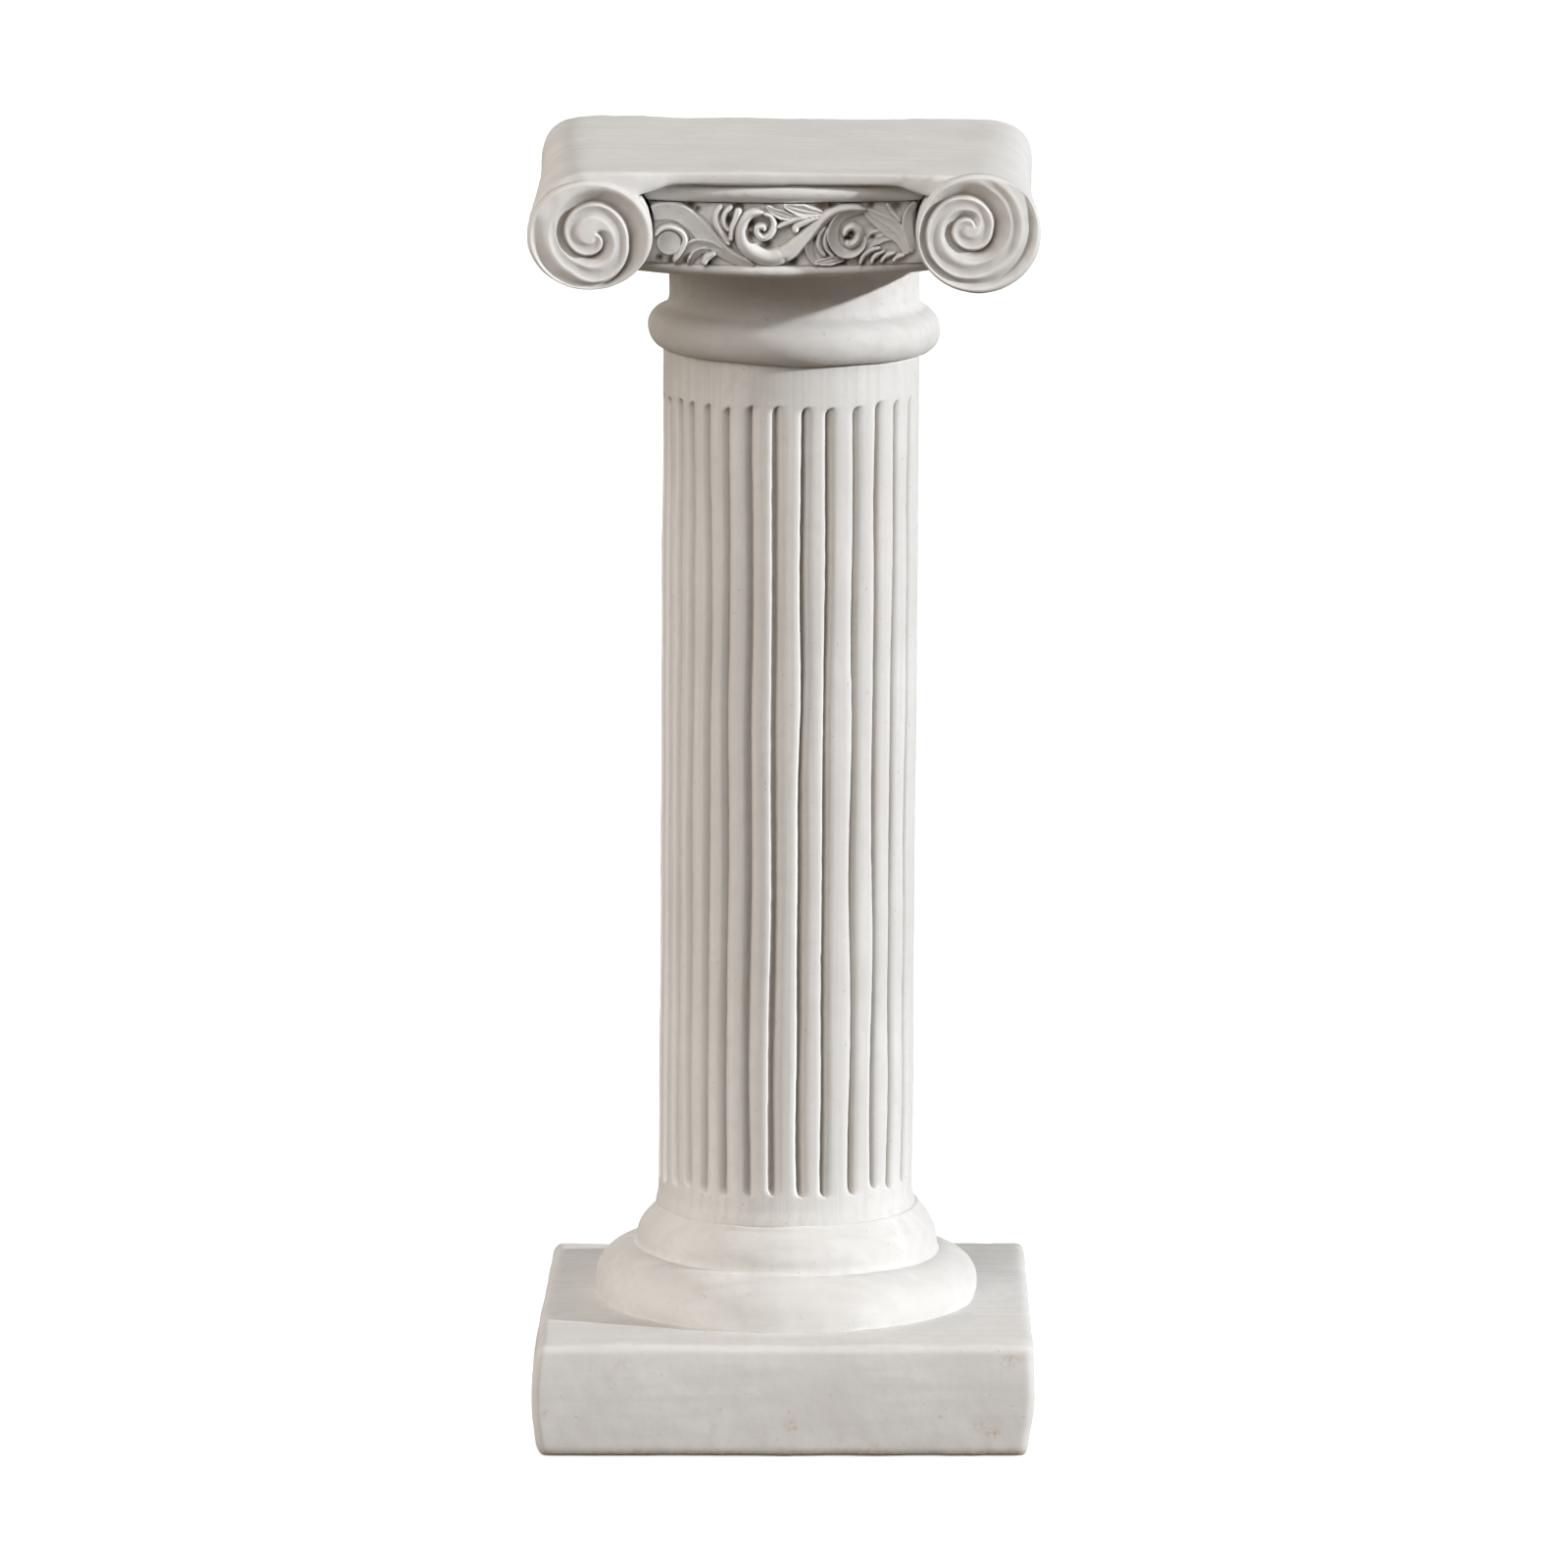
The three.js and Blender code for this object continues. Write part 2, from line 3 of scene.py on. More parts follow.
import bpy
import numpy as np
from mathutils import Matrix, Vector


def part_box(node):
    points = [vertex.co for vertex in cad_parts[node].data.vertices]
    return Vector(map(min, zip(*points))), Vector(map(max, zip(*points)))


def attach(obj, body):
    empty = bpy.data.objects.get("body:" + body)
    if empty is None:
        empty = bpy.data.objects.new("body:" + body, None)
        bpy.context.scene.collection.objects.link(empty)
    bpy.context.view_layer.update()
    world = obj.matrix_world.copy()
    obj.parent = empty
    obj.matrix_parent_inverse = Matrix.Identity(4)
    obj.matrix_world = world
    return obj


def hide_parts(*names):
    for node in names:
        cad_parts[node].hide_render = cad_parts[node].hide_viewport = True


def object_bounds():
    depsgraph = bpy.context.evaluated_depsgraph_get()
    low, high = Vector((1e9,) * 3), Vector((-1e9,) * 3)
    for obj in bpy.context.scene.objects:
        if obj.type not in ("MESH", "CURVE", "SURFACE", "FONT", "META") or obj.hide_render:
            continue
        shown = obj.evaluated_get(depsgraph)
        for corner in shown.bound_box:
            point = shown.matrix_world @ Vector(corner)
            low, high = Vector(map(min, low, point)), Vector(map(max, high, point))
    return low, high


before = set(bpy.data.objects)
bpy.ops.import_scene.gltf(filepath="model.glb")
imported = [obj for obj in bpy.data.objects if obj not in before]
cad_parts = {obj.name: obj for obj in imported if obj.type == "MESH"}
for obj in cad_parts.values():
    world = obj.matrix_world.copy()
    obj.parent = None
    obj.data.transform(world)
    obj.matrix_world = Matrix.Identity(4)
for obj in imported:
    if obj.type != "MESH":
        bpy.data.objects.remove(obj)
cad_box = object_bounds()

mm = 0.001


# ---- Camera, floor and light ----
# The column is seen from straight in front and a little above. Low sun from the right rakes over
# the flutes, and soft light from the left, from the front and from behind fills the shade.
camera_distance = 2398.8 * mm
camera_pitch = math.radians(9.947)
camera_aim = 127.35 * mm
camera_lens = 273.69

bpy.ops.object.camera_add(
    location=(
        0,
        -camera_distance * math.cos(camera_pitch),
        camera_aim + camera_distance * math.sin(camera_pitch),
    ),
    rotation=(math.pi / 2 - camera_pitch, 0, 0),
)
camera = bpy.context.object
camera.data.lens = camera_lens
camera.data.clip_end = 60
bpy.context.scene.camera = camera
bpy.context.scene.view_settings.view_transform = "Standard"

floor_width = 16.0
floor_colour = (0.86, 0.86, 0.86, 1)
floor_bounce = (0.17, 0.14, 0.11, 1)
floor_glow = 0.62

bpy.ops.mesh.primitive_plane_add(size=floor_width, location=(0, 0, -0.05 * mm))
floor = bpy.context.object
floor.name = "floor"

floor_paint = bpy.data.materials.new("floor_paint")
floor_paint.use_nodes = True
nodes = floor_paint.node_tree.nodes
links = floor_paint.node_tree.links
nodes.clear()
matt = nodes.new("ShaderNodeBsdfDiffuse")
matt.inputs["Color"].default_value = floor_colour
dim = nodes.new("ShaderNodeBsdfDiffuse")
dim.name = "dim"
dim.inputs["Color"].default_value = floor_bounce
glow = nodes.new("ShaderNodeEmission")
glow.inputs["Strength"].default_value = floor_glow
seen = nodes.new("ShaderNodeLightPath")
plain = nodes.new("ShaderNodeAddShader")
mix = nodes.new("ShaderNodeMixShader")
out = nodes.new("ShaderNodeOutputMaterial")
links.new(matt.outputs[0], plain.inputs[0])
links.new(glow.outputs[0], plain.inputs[1])
links.new(seen.outputs["Is Camera Ray"], mix.inputs["Fac"])
links.new(dim.outputs[0], mix.inputs[1])
links.new(plain.outputs[0], mix.inputs[2])
links.new(mix.outputs[0], out.inputs["Surface"])
floor.data.materials.append(floor_paint)

sky = bpy.data.worlds.new("sky")
sky.use_nodes = True
sky.node_tree.nodes["Background"].inputs["Color"].default_value = (1.0, 0.84, 0.70, 1)
sky.node_tree.nodes["Background"].inputs["Strength"].default_value = 0.07
bpy.context.scene.world = sky


def far_lamp(name, azimuth, elevation, spread, strength, colour):
    """A far lamp. Azimuth 0 is the camera's side and 90 the right; a wide spread makes it soft."""
    bpy.ops.object.light_add(
        type="SUN",
        rotation=(math.pi / 2 - math.radians(elevation), 0, math.radians(azimuth)),
        location=(0, 0, 1),
    )
    lamp = bpy.context.object
    lamp.name = name
    lamp.data.energy = strength
    lamp.data.angle = math.radians(spread)
    lamp.data.color = colour


far_lamp("sun", 76.5, 14.5, 1.6, 3.15, (0.965, 0.985, 1.0))
far_lamp("left_fill", -80, 22, 45, 1.1, (1.0, 0.90, 0.79))
far_lamp("front_fill", -22, 38, 45, 1.38, (1.0, 0.975, 0.95))
far_lamp("back_fill", 180, 9, 45, 1.0, (0.96, 0.98, 1.0))


# ---- Plaster ----
# All the castings are one white plaster, matt and slightly uneven in tone, with faint streaks from
# the brush, tan specks and rubs on the plinth, painted highlight on crests and painted shade in
# recesses.
plaster_white = (0.835, 0.83, 0.82, 1)
plaster_grey = (0.755, 0.745, 0.73, 1)
plaster_tan = (0.60, 0.47, 0.36, 1)
plaster_shade = (0.36, 0.32, 0.275, 1)
plaster_highlight = (0.92, 0.92, 0.915, 1)
plaster_roughness = 0.86
plaster_gloss = 0.25
grain_strength = 0.35
grain_depth = 0.12 * mm


def new_material(name):
    """A material with the parts that the helpers below build on: its nodes, links and so on."""
    material = bpy.data.materials.new(name)
    material.use_nodes = True
    nodes = material.node_tree.nodes
    place = nodes.new("ShaderNodeTexCoord")
    return material, nodes, material.node_tree.links, nodes["Principled BSDF"], place


plaster, nodes, links, surface, place = new_material("cast_plaster")
surface.inputs["Roughness"].default_value = plaster_roughness
surface.inputs["Specular IOR Level"].default_value = plaster_gloss


def noise_field(scale, detail, stretch=(1, 1, 1)):
    """A noise texture on the column's own coordinates, in turns per metre."""
    mapping = nodes.new("ShaderNodeMapping")
    mapping.inputs["Scale"].default_value = stretch
    links.new(place.outputs["Object"], mapping.inputs["Vector"])
    noise = nodes.new("ShaderNodeTexNoise")
    noise.inputs["Scale"].default_value = scale
    noise.inputs["Detail"].default_value = detail
    links.new(mapping.outputs["Vector"], noise.inputs["Vector"])
    return noise.outputs["Fac"]


def ramp(value, low, high, top=1.0):
    """value spread so that low becomes 0 and high becomes top."""
    spread = nodes.new("ShaderNodeMapRange")
    spread.inputs["From Min"].default_value = low
    spread.inputs["From Max"].default_value = high
    spread.inputs["To Max"].default_value = top
    links.new(value, spread.inputs["Value"])
    return spread.outputs["Result"]


def tint(base, colour, amount):
    """base mixed towards colour by amount."""
    blend = nodes.new("ShaderNodeMix")
    blend.data_type = "RGBA"
    links.new(amount, blend.inputs["Factor"])
    if isinstance(base, tuple):
        blend.inputs["A"].default_value = base
    else:
        links.new(base, blend.inputs["A"])
    blend.inputs["B"].default_value = colour
    return blend.outputs["Result"]


def painted(name):
    """A value kept on the piece's own points: 0 where the piece has none."""
    kept = nodes.new("ShaderNodeAttribute")
    kept.attribute_name = name
    return kept.outputs["Fac"]


def times(a, b):
    """The product of two values."""
    product = nodes.new("ShaderNodeMath")
    product.operation = "MULTIPLY"
    links.new(a, product.inputs[0])
    links.new(b, product.inputs[1])
    return product.outputs["Value"]


clouds = ramp(noise_field(60, 4), 0.35, 0.7)
streaks = ramp(noise_field(150, 4, (0.2, 2.5, 2.5)), 0.46, 0.70, 1.0)
scores = ramp(noise_field(800, 3, (1, 1, 0.015)), 0.45, 0.65, 0.75)
specks = ramp(noise_field(900, 2), 0.70, 0.76, 0.55)
tone = tint(plaster_white, plaster_grey, clouds)
tone = tint(tone, plaster_grey, times(streaks, ramp(painted("combed"), 1, 0)))
tone = tint(tone, plaster_grey, times(scores, painted("combed")))
tone = tint(tone, plaster_tan, specks)
tone = tint(tone, plaster_grey, ramp(noise_field(380, 5), 0.5, 0.72, 0.8))
# Painted highlight: crests and the lit edges are tinted whiter.
tone = tint(tone, plaster_highlight, painted("painted_highlight"))
# Painted shade: recesses, grooves and pockets are tinted darker.
tone = tint(tone, plaster_shade, painted("recess"))
tone = tint(tone, plaster_tan, times(painted("rub"), ramp(noise_field(1100, 4), 0.38, 0.62, 1.5)))
links.new(tone, surface.inputs["Base Color"])

grain = nodes.new("ShaderNodeBump")
grain.inputs["Strength"].default_value = grain_strength
grain.inputs["Distance"].default_value = grain_depth
mixed = nodes.new("ShaderNodeMath")
mixed.operation = "MULTIPLY_ADD"
links.new(painted("combed"), mixed.inputs[1])
links.new(noise_field(1300, 2, (1, 1, 0.02)), mixed.inputs[0])
links.new(noise_field(700, 5), mixed.inputs[2])
links.new(mixed.outputs["Value"], grain.inputs["Height"])
links.new(grain.outputs["Normal"], surface.inputs["Normal"])


# ---- Felt pad ----
# A sheet of grey-brown felt, glued into the seat under the plinth so that the stand doesn't
# scratch what it rests on. It closes the recess of the lower nut.
felt_fuzz = 0.06 * mm
felt_light = (0.30, 0.27, 0.23, 1)
felt_dark = (0.17, 0.155, 0.135, 1)
felt_cuts = 48


def start_piece(name):
    """Names the primitive just added, and puts its place and size into its mesh."""
    piece = bpy.context.object
    piece.name = name
    piece.data.name = name
    bpy.ops.object.transform_apply(location=True, rotation=True, scale=True)
    return piece


def clear_selection():
    bpy.ops.object.select_all(action="DESELECT")


def pick(piece):
    """Selects this piece alone and makes it the active one."""
    clear_selection()
    piece.select_set(True)
    bpy.context.view_layer.objects.active = piece


def points_of(piece):
    flat = np.empty(3 * len(piece.data.vertices))
    piece.data.vertices.foreach_get("co", flat)
    return flat.reshape(-1, 3)


def set_points(piece, points):
    piece.data.vertices.foreach_set("co", points.ravel())
    piece.data.update()


def swells(points, size, seed, count=16):
    """Smooth unevenness over the points, mostly from -1 to 1, with swells about size across."""
    draw = np.random.RandomState(seed)
    total = np.zeros(len(points))
    for _ in range(count):
        direction = draw.normal(size=3)
        direction /= np.linalg.norm(direction)
        reach = size * draw.uniform(0.7, 1.7)
        phase = draw.uniform(0, 2 * math.pi)
        total += np.sin(points @ direction * (2 * math.pi / reach) + phase)
    return total / math.sqrt(2 * count)


def paint(piece, name, values):
    """Keeps one value for each point, which the plaster turns into colour."""
    layer = piece.data.attributes.new(name, "FLOAT", "POINT")
    layer.data.foreach_set("value", np.asarray(values, np.float32))


def work_by_hand(piece, depth, size, seed):
    """Pushes the surface in and out along its normals, as a hand-finished casting is uneven."""
    points = points_of(piece)
    normals = np.empty(3 * len(points))
    piece.data.vertex_normals.foreach_get("vector", normals)
    lift = depth * swells(points, size, seed)
    set_points(piece, points + normals.reshape(-1, 3) * lift[:, None])


def edit_all(piece):
    pick(piece)
    bpy.ops.object.mode_set(mode="EDIT")
    bpy.ops.mesh.select_all(action="SELECT")


def leave_edit():
    bpy.ops.object.mode_set(mode="OBJECT")


def add_block(name, low, high):
    """A cube with these lowest and highest corners."""
    clear_selection()
    middle = [(a + b) / 2 for a, b in zip(low, high)]
    bpy.ops.mesh.primitive_cube_add(size=1, location=middle)
    bpy.context.object.scale = [b - a for a, b in zip(low, high)]
    return start_piece(name)


low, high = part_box("base_felt")
felt_pad = add_block("felt_pad", low, high)
edit_all(felt_pad)
bpy.ops.mesh.subdivide(number_cuts=felt_cuts)
leave_edit()
points = points_of(felt_pad)
inside = np.abs(points[:, :2]).max(axis=1) < high.x - 0.5 * mm
fray = felt_fuzz * swells(points, 1.3 * mm, 3)
points[~inside, :2] *= (1 - np.abs(fray[~inside]) / high.x)[:, None]
set_points(felt_pad, points)

felt, nodes, links, surface, place = new_material("felt")
surface.inputs["Roughness"].default_value = 0.95
surface.inputs["Sheen Weight"].default_value = 0.3
links.new(
    tint(felt_light, felt_dark, ramp(noise_field(1400, 6), 0.3, 0.7)), surface.inputs["Base Color"])
fibres = nodes.new("ShaderNodeBump")
fibres.inputs["Distance"].default_value = 0.3 * mm
links.new(noise_field(1800, 6), fibres.inputs["Height"])
links.new(fibres.outputs["Normal"], surface.inputs["Normal"])
felt_pad.data.materials.append(felt)
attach(felt_pad, "root")
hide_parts("base_felt")


# ---- Steel and wood inside ----
# One threaded rod with a nut and a wide washer at each end draws the stack together, four plain
# pins stop it turning, and two wooden discs centre the hollow shaft. All of it is hidden.
zinc_light = (0.66, 0.67, 0.68, 1)
zinc_dark = (0.48, 0.49, 0.51, 1)
beech_light = (0.62, 0.43, 0.26, 1)
beech_dark = (0.46, 0.29, 0.16, 1)

zinc, nodes, links, surface, place = new_material("zinc_plated_steel")
surface.inputs["Metallic"].default_value = 1.0
links.new(
    tint(zinc_light, zinc_dark, ramp(noise_field(500, 4), 0.35, 0.7)), surface.inputs["Base Color"])
links.new(ramp(noise_field(900, 3, (1, 1, 0.15)), 0.2, 0.8, 0.5), surface.inputs["Roughness"])
for node in (
    "tie_rod", "foot_nut", "foot_washer", "cap_nut", "cap_washer",
    "base_pin_left", "base_pin_right", "cap_pin_left", "cap_pin_right",
):
    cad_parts[node].data.materials.clear()
    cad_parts[node].data.materials.append(zinc)

beech, nodes, links, surface, place = new_material("beech")
surface.inputs["Roughness"].default_value = 0.6
links.new(
    tint(beech_light, beech_dark, ramp(noise_field(260, 5, (1, 0.12, 1)), 0.35, 0.7)),
    surface.inputs["Base Color"])
for node in ("shaft_plug_bottom", "shaft_plug_top"):
    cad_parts[node].data.materials.clear()
    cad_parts[node].data.materials.append(beech)


# ---- Plinth ----
# The square foot, cast in an open mould: its top was struck off by hand and is a little wavy, its
# sides belly out, its edges are soft. Underneath are the felt's seat and the nut's recess.
plinth_low, plinth_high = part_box("plinth")
plinth_edge = 1.3 * mm
plinth_grain = 0.8 * mm
seat_gap = 0.3 * mm
hole_gap = 0.4 * mm
nut_room = 3 * mm
overcut = 1 * mm
# Tan rubs on the front: across, up, size and strength.
plinth_rubs = (
    (1.6, 6.6, 1.2, 0.8), (41.5, 5.1, 1.1, 0.9), (39.3, 6.6, 1.5, 0.35), (17.8, 2.4, 0.8, 0.6),
    (44.9, 19.9, 1.5, 0.5), (-32.0, 19.6, 1.5, 0.3), (-47.5, 9.0, 0.8, 0.5),
    (-14.0, 6.4, 1.0, 0.25),
)


def apply_modifier(piece, kind, **settings):
    pick(piece)
    modifier = piece.modifiers.new(kind.lower(), kind)
    for setting, value in settings.items():
        setattr(modifier, setting, value)
    bpy.ops.object.modifier_apply(modifier=modifier.name)


def cut_away(piece, cutter):
    apply_modifier(piece, "BOOLEAN", operation="DIFFERENCE", object=cutter, solver="MANIFOLD")
    bpy.data.objects.remove(cutter)


def drill(piece, radius, bottom, top, x=0.0):
    """A round hole up through the piece."""
    clear_selection()
    bpy.ops.mesh.primitive_cylinder_add(
        vertices=32, radius=radius, depth=top - bottom, location=(x, 0, (bottom + top) / 2))
    cut_away(piece, start_piece("drill"))


def drill_for(piece, node, gap=hole_gap):
    """The hole that lets this rod or pin of the frame through the piece."""
    low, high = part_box(node)
    drill(piece, (high.x - low.x) / 2 + gap, low.z - gap, high.z + gap, (low.x + high.x) / 2)


def ease(value, start, end):
    """0 before start, 1 after end, and a smooth rise between."""
    along = np.clip((value - start) / (end - start), 0, 1)
    return along * along * (3 - 2 * along)


plinth = add_block("plinth_block", plinth_low, plinth_high)
edit_all(plinth)
bpy.ops.mesh.bevel(offset=plinth_edge, segments=4, profile=0.5)
leave_edit()
felt_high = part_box("base_felt")[1]
reach = felt_high.x + seat_gap
cut_away(plinth, add_block("felt_seat", (-reach, -reach, -overcut), (reach, reach, felt_high.z)))
washer_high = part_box("foot_washer")[1]
drill(plinth, washer_high.x + nut_room, -overcut, washer_high.z + 0.1 * mm)
for node in ("tie_rod", "base_pin_left", "base_pin_right"):
    drill_for(plinth, node)
apply_modifier(plinth, "REMESH", mode="VOXEL", voxel_size=plinth_grain)
apply_modifier(plinth, "SMOOTH", factor=0.5, iterations=2)

points = points_of(plinth)
x, y, z = points.T
half = plinth_high.x
up = (z - plinth_low.z) / (plinth_high.z - plinth_low.z)
belly = (2 * up - 1) ** 2

# How far the sides and the front stand in and the rim and the top drop, in millimetres.
left = ease(-x / half, 0.55, 1.0)
right = ease(x / half, 0.55, 1.0)
front = ease(-y / half, 0.6, 1.0)
points[:, 0] += left * mm * (0.15 + 1.3 * belly + 1.7 * ease(y / half, -0.6, 1.0))
points[:, 0] -= right * mm * (0.55 + 0.3 * belly + 1.1 * ease(1 - up, 0.5, 1.0))
points[:, 1] += front * mm * 0.6 * belly
rim = ease(np.maximum(np.abs(x), np.abs(y)), 47.2 * mm, 47.6 * mm) * (1 - ease(up, 0, 0.2))
points[:, 2] -= 0.3 * mm * rim
back_lift = ease(y / half, 0.5, 1.0) * np.sin(x / half * 4.2 + 1.4)
points[:, 2] += ease(up, 0.7, 1.0) * mm * (
    0.35 * back_lift - 0.35 + 0.16 * swells(points * (1, 1, 0), 34 * mm, 5))
set_points(plinth, points)
work_by_hand(plinth, 0.10 * mm, 16 * mm, 6)
work_by_hand(plinth, 0.035 * mm, 4 * mm, 7)

points = points_of(plinth)
rub = np.zeros(len(points))
for x, z, size, strength in plinth_rubs:
    away = np.hypot(points[:, 0] - x * mm, (points[:, 2] - z * mm) * 1.3)
    rub += strength * np.exp(-((away / (size * mm)) ** 2)) * (points[:, 1] < 0)
rub += 0.30 * (1 - ease(points[:, 2], plinth_low.z, plinth_low.z + 2.2 * mm)) * (
    1 + 0.8 * swells(points, 9 * mm, 8))
paint(plinth, "rub", np.clip(rub, 0, 0.9))


def finish_plaster(piece, *replaced):
    """Keeps the piece inside the frame's box, then smooth shading, plaster and its place."""
    reach = np.array([list(corner) for corner in cad_box])
    set_points(piece, np.clip(points_of(piece), reach[0], reach[1]))
    pick(piece)
    bpy.ops.object.shade_smooth()
    piece.data.materials.clear()
    piece.data.materials.append(plaster)
    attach(piece, "root")
    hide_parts(*replaced)


finish_plaster(plinth, "plinth")


# ---- Base rings ----
# Two turned rings of cast plaster under the shaft. They were smoothed by hand while soft, so the
# curves aren't quite even, and the whole base leans a little to the right.
ring_segments = 300
same_place = 0.001 * mm
lower_ring_outline = (
    (37.9, 22.4), (38.2, 23.4), (38.5, 24.7), (38.5, 26.4), (38.1, 28.2), (37.0, 30.0),
    (35.3, 31.5), (33.6, 32.4), (31.8, 32.8), (29.0, 32.8),
)
upper_ring_outline = (
    (31.3, 32.5), (30.6, 33.1), (30.35, 34.0), (30.3, 35.1), (30.1, 36.2), (29.7, 37.3),
    (29.0, 38.6), (28.0, 39.9), (27.1, 40.9), (26.4, 41.8), (24.0, 41.8),
)
base_shift = 0.55 * mm
seam_tilt = 0.026


def smooth_line(line, count):
    """count places, evenly spaced along a smooth curve through the line's points."""
    line = np.array(line, float)
    ends = (2 * line[0] - line[1], 2 * line[-1] - line[-2])
    padded = np.vstack([ends[0], line, ends[1]])
    steps = np.linspace(0, len(line) - 1, 40 * (len(line) - 1) + 1)
    cell = np.minimum(steps.astype(int), len(line) - 2)
    t = (steps - cell)[:, None]
    a, b, c, d = (padded[cell + k] for k in range(4))
    square = 2 * a - 5 * b + 4 * c - d
    cube = 3 * b - a - 3 * c + d
    curve = 0.5 * (2 * b + (c - a) * t + square * t**2 + cube * t**3)
    lengths = np.linalg.norm(np.diff(curve, axis=0), axis=1)
    along = np.concatenate([[0], np.cumsum(lengths)])
    wanted = np.linspace(0, along[-1], count)
    return np.column_stack([np.interp(wanted, along, part) for part in curve.T])


def turn_outwards():
    """Turns all faces of the piece in hand outwards and leaves edit mode."""
    bpy.ops.mesh.select_all(action="SELECT")
    bpy.ops.mesh.normals_make_consistent(inside=False)
    leave_edit()


def turned_ring(name, outline, bore, shift=0.0):
    """Spins an outline of (radius, height) in millimetres round the column, down to the bore."""
    skin = smooth_line(outline, 44) * mm
    bottom, top = skin[0, 1], skin[-1, 1]
    inner = [(bore, height) for height in np.linspace(top, bottom, 6)]
    flat_top = [(radius, top) for radius in np.linspace(skin[-1, 0], bore, 8)[1:-1]]
    flat_foot = [(radius, bottom) for radius in np.linspace(bore, skin[0, 0], 8)[1:-1]]
    section = np.array([*skin, *flat_top, *inner, *flat_foot])
    clear_selection()
    bpy.ops.mesh.primitive_circle_add(vertices=len(section), radius=1)
    ring = start_piece(name)
    set_points(ring, np.column_stack([section[:, 0], np.zeros(len(section)), section[:, 1]]))
    edit_all(ring)
    bpy.ops.mesh.spin(steps=ring_segments, angle=2 * math.pi, center=(0, 0, 0), axis=(0, 0, 1))
    bpy.ops.mesh.select_all(action="SELECT")
    bpy.ops.mesh.remove_doubles(threshold=same_place)
    turn_outwards()
    points = points_of(ring)
    points[:, 0] += shift
    set_points(ring, points)
    return ring


rod_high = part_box("tie_rod")[1]
rod_bore = rod_high.x + hole_gap
lower_ring = turned_ring("lower_ring", lower_ring_outline, rod_bore, base_shift)
upper_ring = turned_ring("upper_ring", upper_ring_outline, rod_bore, base_shift)
ring_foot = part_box("lower_torus")[0].z
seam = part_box("lower_torus")[1].z
for ring in (lower_ring, upper_ring):
    for node in ("base_pin_left", "base_pin_right"):
        drill_for(ring, node)
    points = points_of(ring)
    x, y, z = points.T
    lean = ease(z, ring_foot, seam) * (1 - ease(z, seam, seam + 9 * mm))
    points[:, 2] -= seam_tilt * x * lean
    set_points(ring, points)
    work_by_hand(ring, 0.22 * mm, 22 * mm, 11)
    work_by_hand(ring, 0.05 * mm, 5 * mm, 12)
finish_plaster(lower_ring, "lower_torus")
finish_plaster(upper_ring, "upper_torus")


# ---- Fluted shaft ----
# A hollow casting with 31 flutes cut by hand: each has a steep left wall, is deepest close to it
# and rises gently to the right. Their edges wander, and their ends are rounded.
shaft_low, shaft_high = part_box("fluted_shaft")
shaft_radius = (shaft_high.y - shaft_low.y) / 2
shaft_bore = 12 * mm
shaft_foot_shift = 0.3 * mm
shaft_head_shift = 1.5 * mm
front_flutes = (-74, -62.4, -52.7, -41.8, -31.5, -19.9, -8.3, 4.3, 15.8, 29, 41.2, 52.7, 65.4, 80)
flute_count = 31
flute_foot = 47.6 * mm
flute_head = 207.5 * mm
flute_depth = 1.8 * mm
flute_width = 3.5 * mm
flute_rows = 250
head_tilt = 0.0216
foot_flare = 0.5 * mm

# Across a flute, from the rounded edge of the land on its left to the land on its right: places in
# millimetres, and how deep the surface lies there as a share of the flute's depth.
across = np.array((-1.25, -0.40, -0.10, 0.10, 0.32, 0.50, 0.70, 0.95, 1.22, 1.70, 2.6, 3.6))
deepness = np.array((0, 0.02, 0.12, 0.38, 0.76, 0.98, 1.0, 0.72, 0.42, 0.20, 0.05, 0))
# Also for each place: how much painted shade darkens it, most in the flute's floor, and how much
# painted highlight whitens the lit left edge.
flute_shade = np.array((0, 0, 0, 0, 0.1, 0.6, 0.9, 0.78, 0.48, 0.16, 0, 0))
edge_highlight = np.array((0, 0.4, 0.9, 1.0, 0.5, 0, 0, 0, 0, 0, 0, 0))
columns = len(across)

draw = np.random.RandomState(31)
spare = flute_count - len(front_flutes)
gap = (360 - (front_flutes[-1] - front_flutes[0])) / (spare + 1)
behind = [front_flutes[-1] + gap * (k + 1) + draw.uniform(-0.8, 0.8) for k in range(spare)]
flute_angles = np.radians([*front_flutes, *behind])

# The skin starts as a flat sheet, which is then rolled round the column and joined at its edge.
clear_selection()
bpy.ops.mesh.primitive_grid_add(
    x_subdivisions=flute_count * columns, y_subdivisions=flute_rows, size=1)
shaft = start_piece("shaft")
points = points_of(shaft) + (0.5, 0.5, 0)
column = np.rint(points[:, 0] * flute_count * columns).astype(int) % (flute_count * columns)
row = np.rint(points[:, 1] * flute_rows).astype(int)
flute, member = np.divmod(column, columns)

# Rows are close together where the flutes end.
span = shaft_high.z - shaft_low.z
foot_zone = (flute_foot - 1.5 * mm, flute_foot + 4.5 * mm)
head_zone = (flute_head - 4.5 * mm, flute_head + 1.5 * mm)
level = np.interp(
    np.linspace(0, 1, flute_rows + 1), (0, 0.035, 0.12, 0.88, 0.965, 1),
    (shaft_low.z - 0.3 * mm, *foot_zone, *head_zone, shaft_high.z))
up_the_shaft = np.column_stack([np.zeros((len(level), 2)), level])


def along_each_flute(amount, size, seed):
    """Unevenness along every flute, one row of values for each."""
    return amount * np.array([swells(up_the_shaft, size, seed + k, 7) for k in range(flute_count)])


wander = along_each_flute(0.26 * mm, 46 * mm, 100)
nicks = along_each_flute(1, 4 * mm, 200)
nicks = 0.05 * mm * nicks - 0.22 * mm * np.clip(nicks - 0.75, 0, 0.8)
own_depth = flute_depth * (1 + along_each_flute(0.16, 38 * mm, 300))
own_width = 1 + along_each_flute(0.10, 50 * mm, 400)

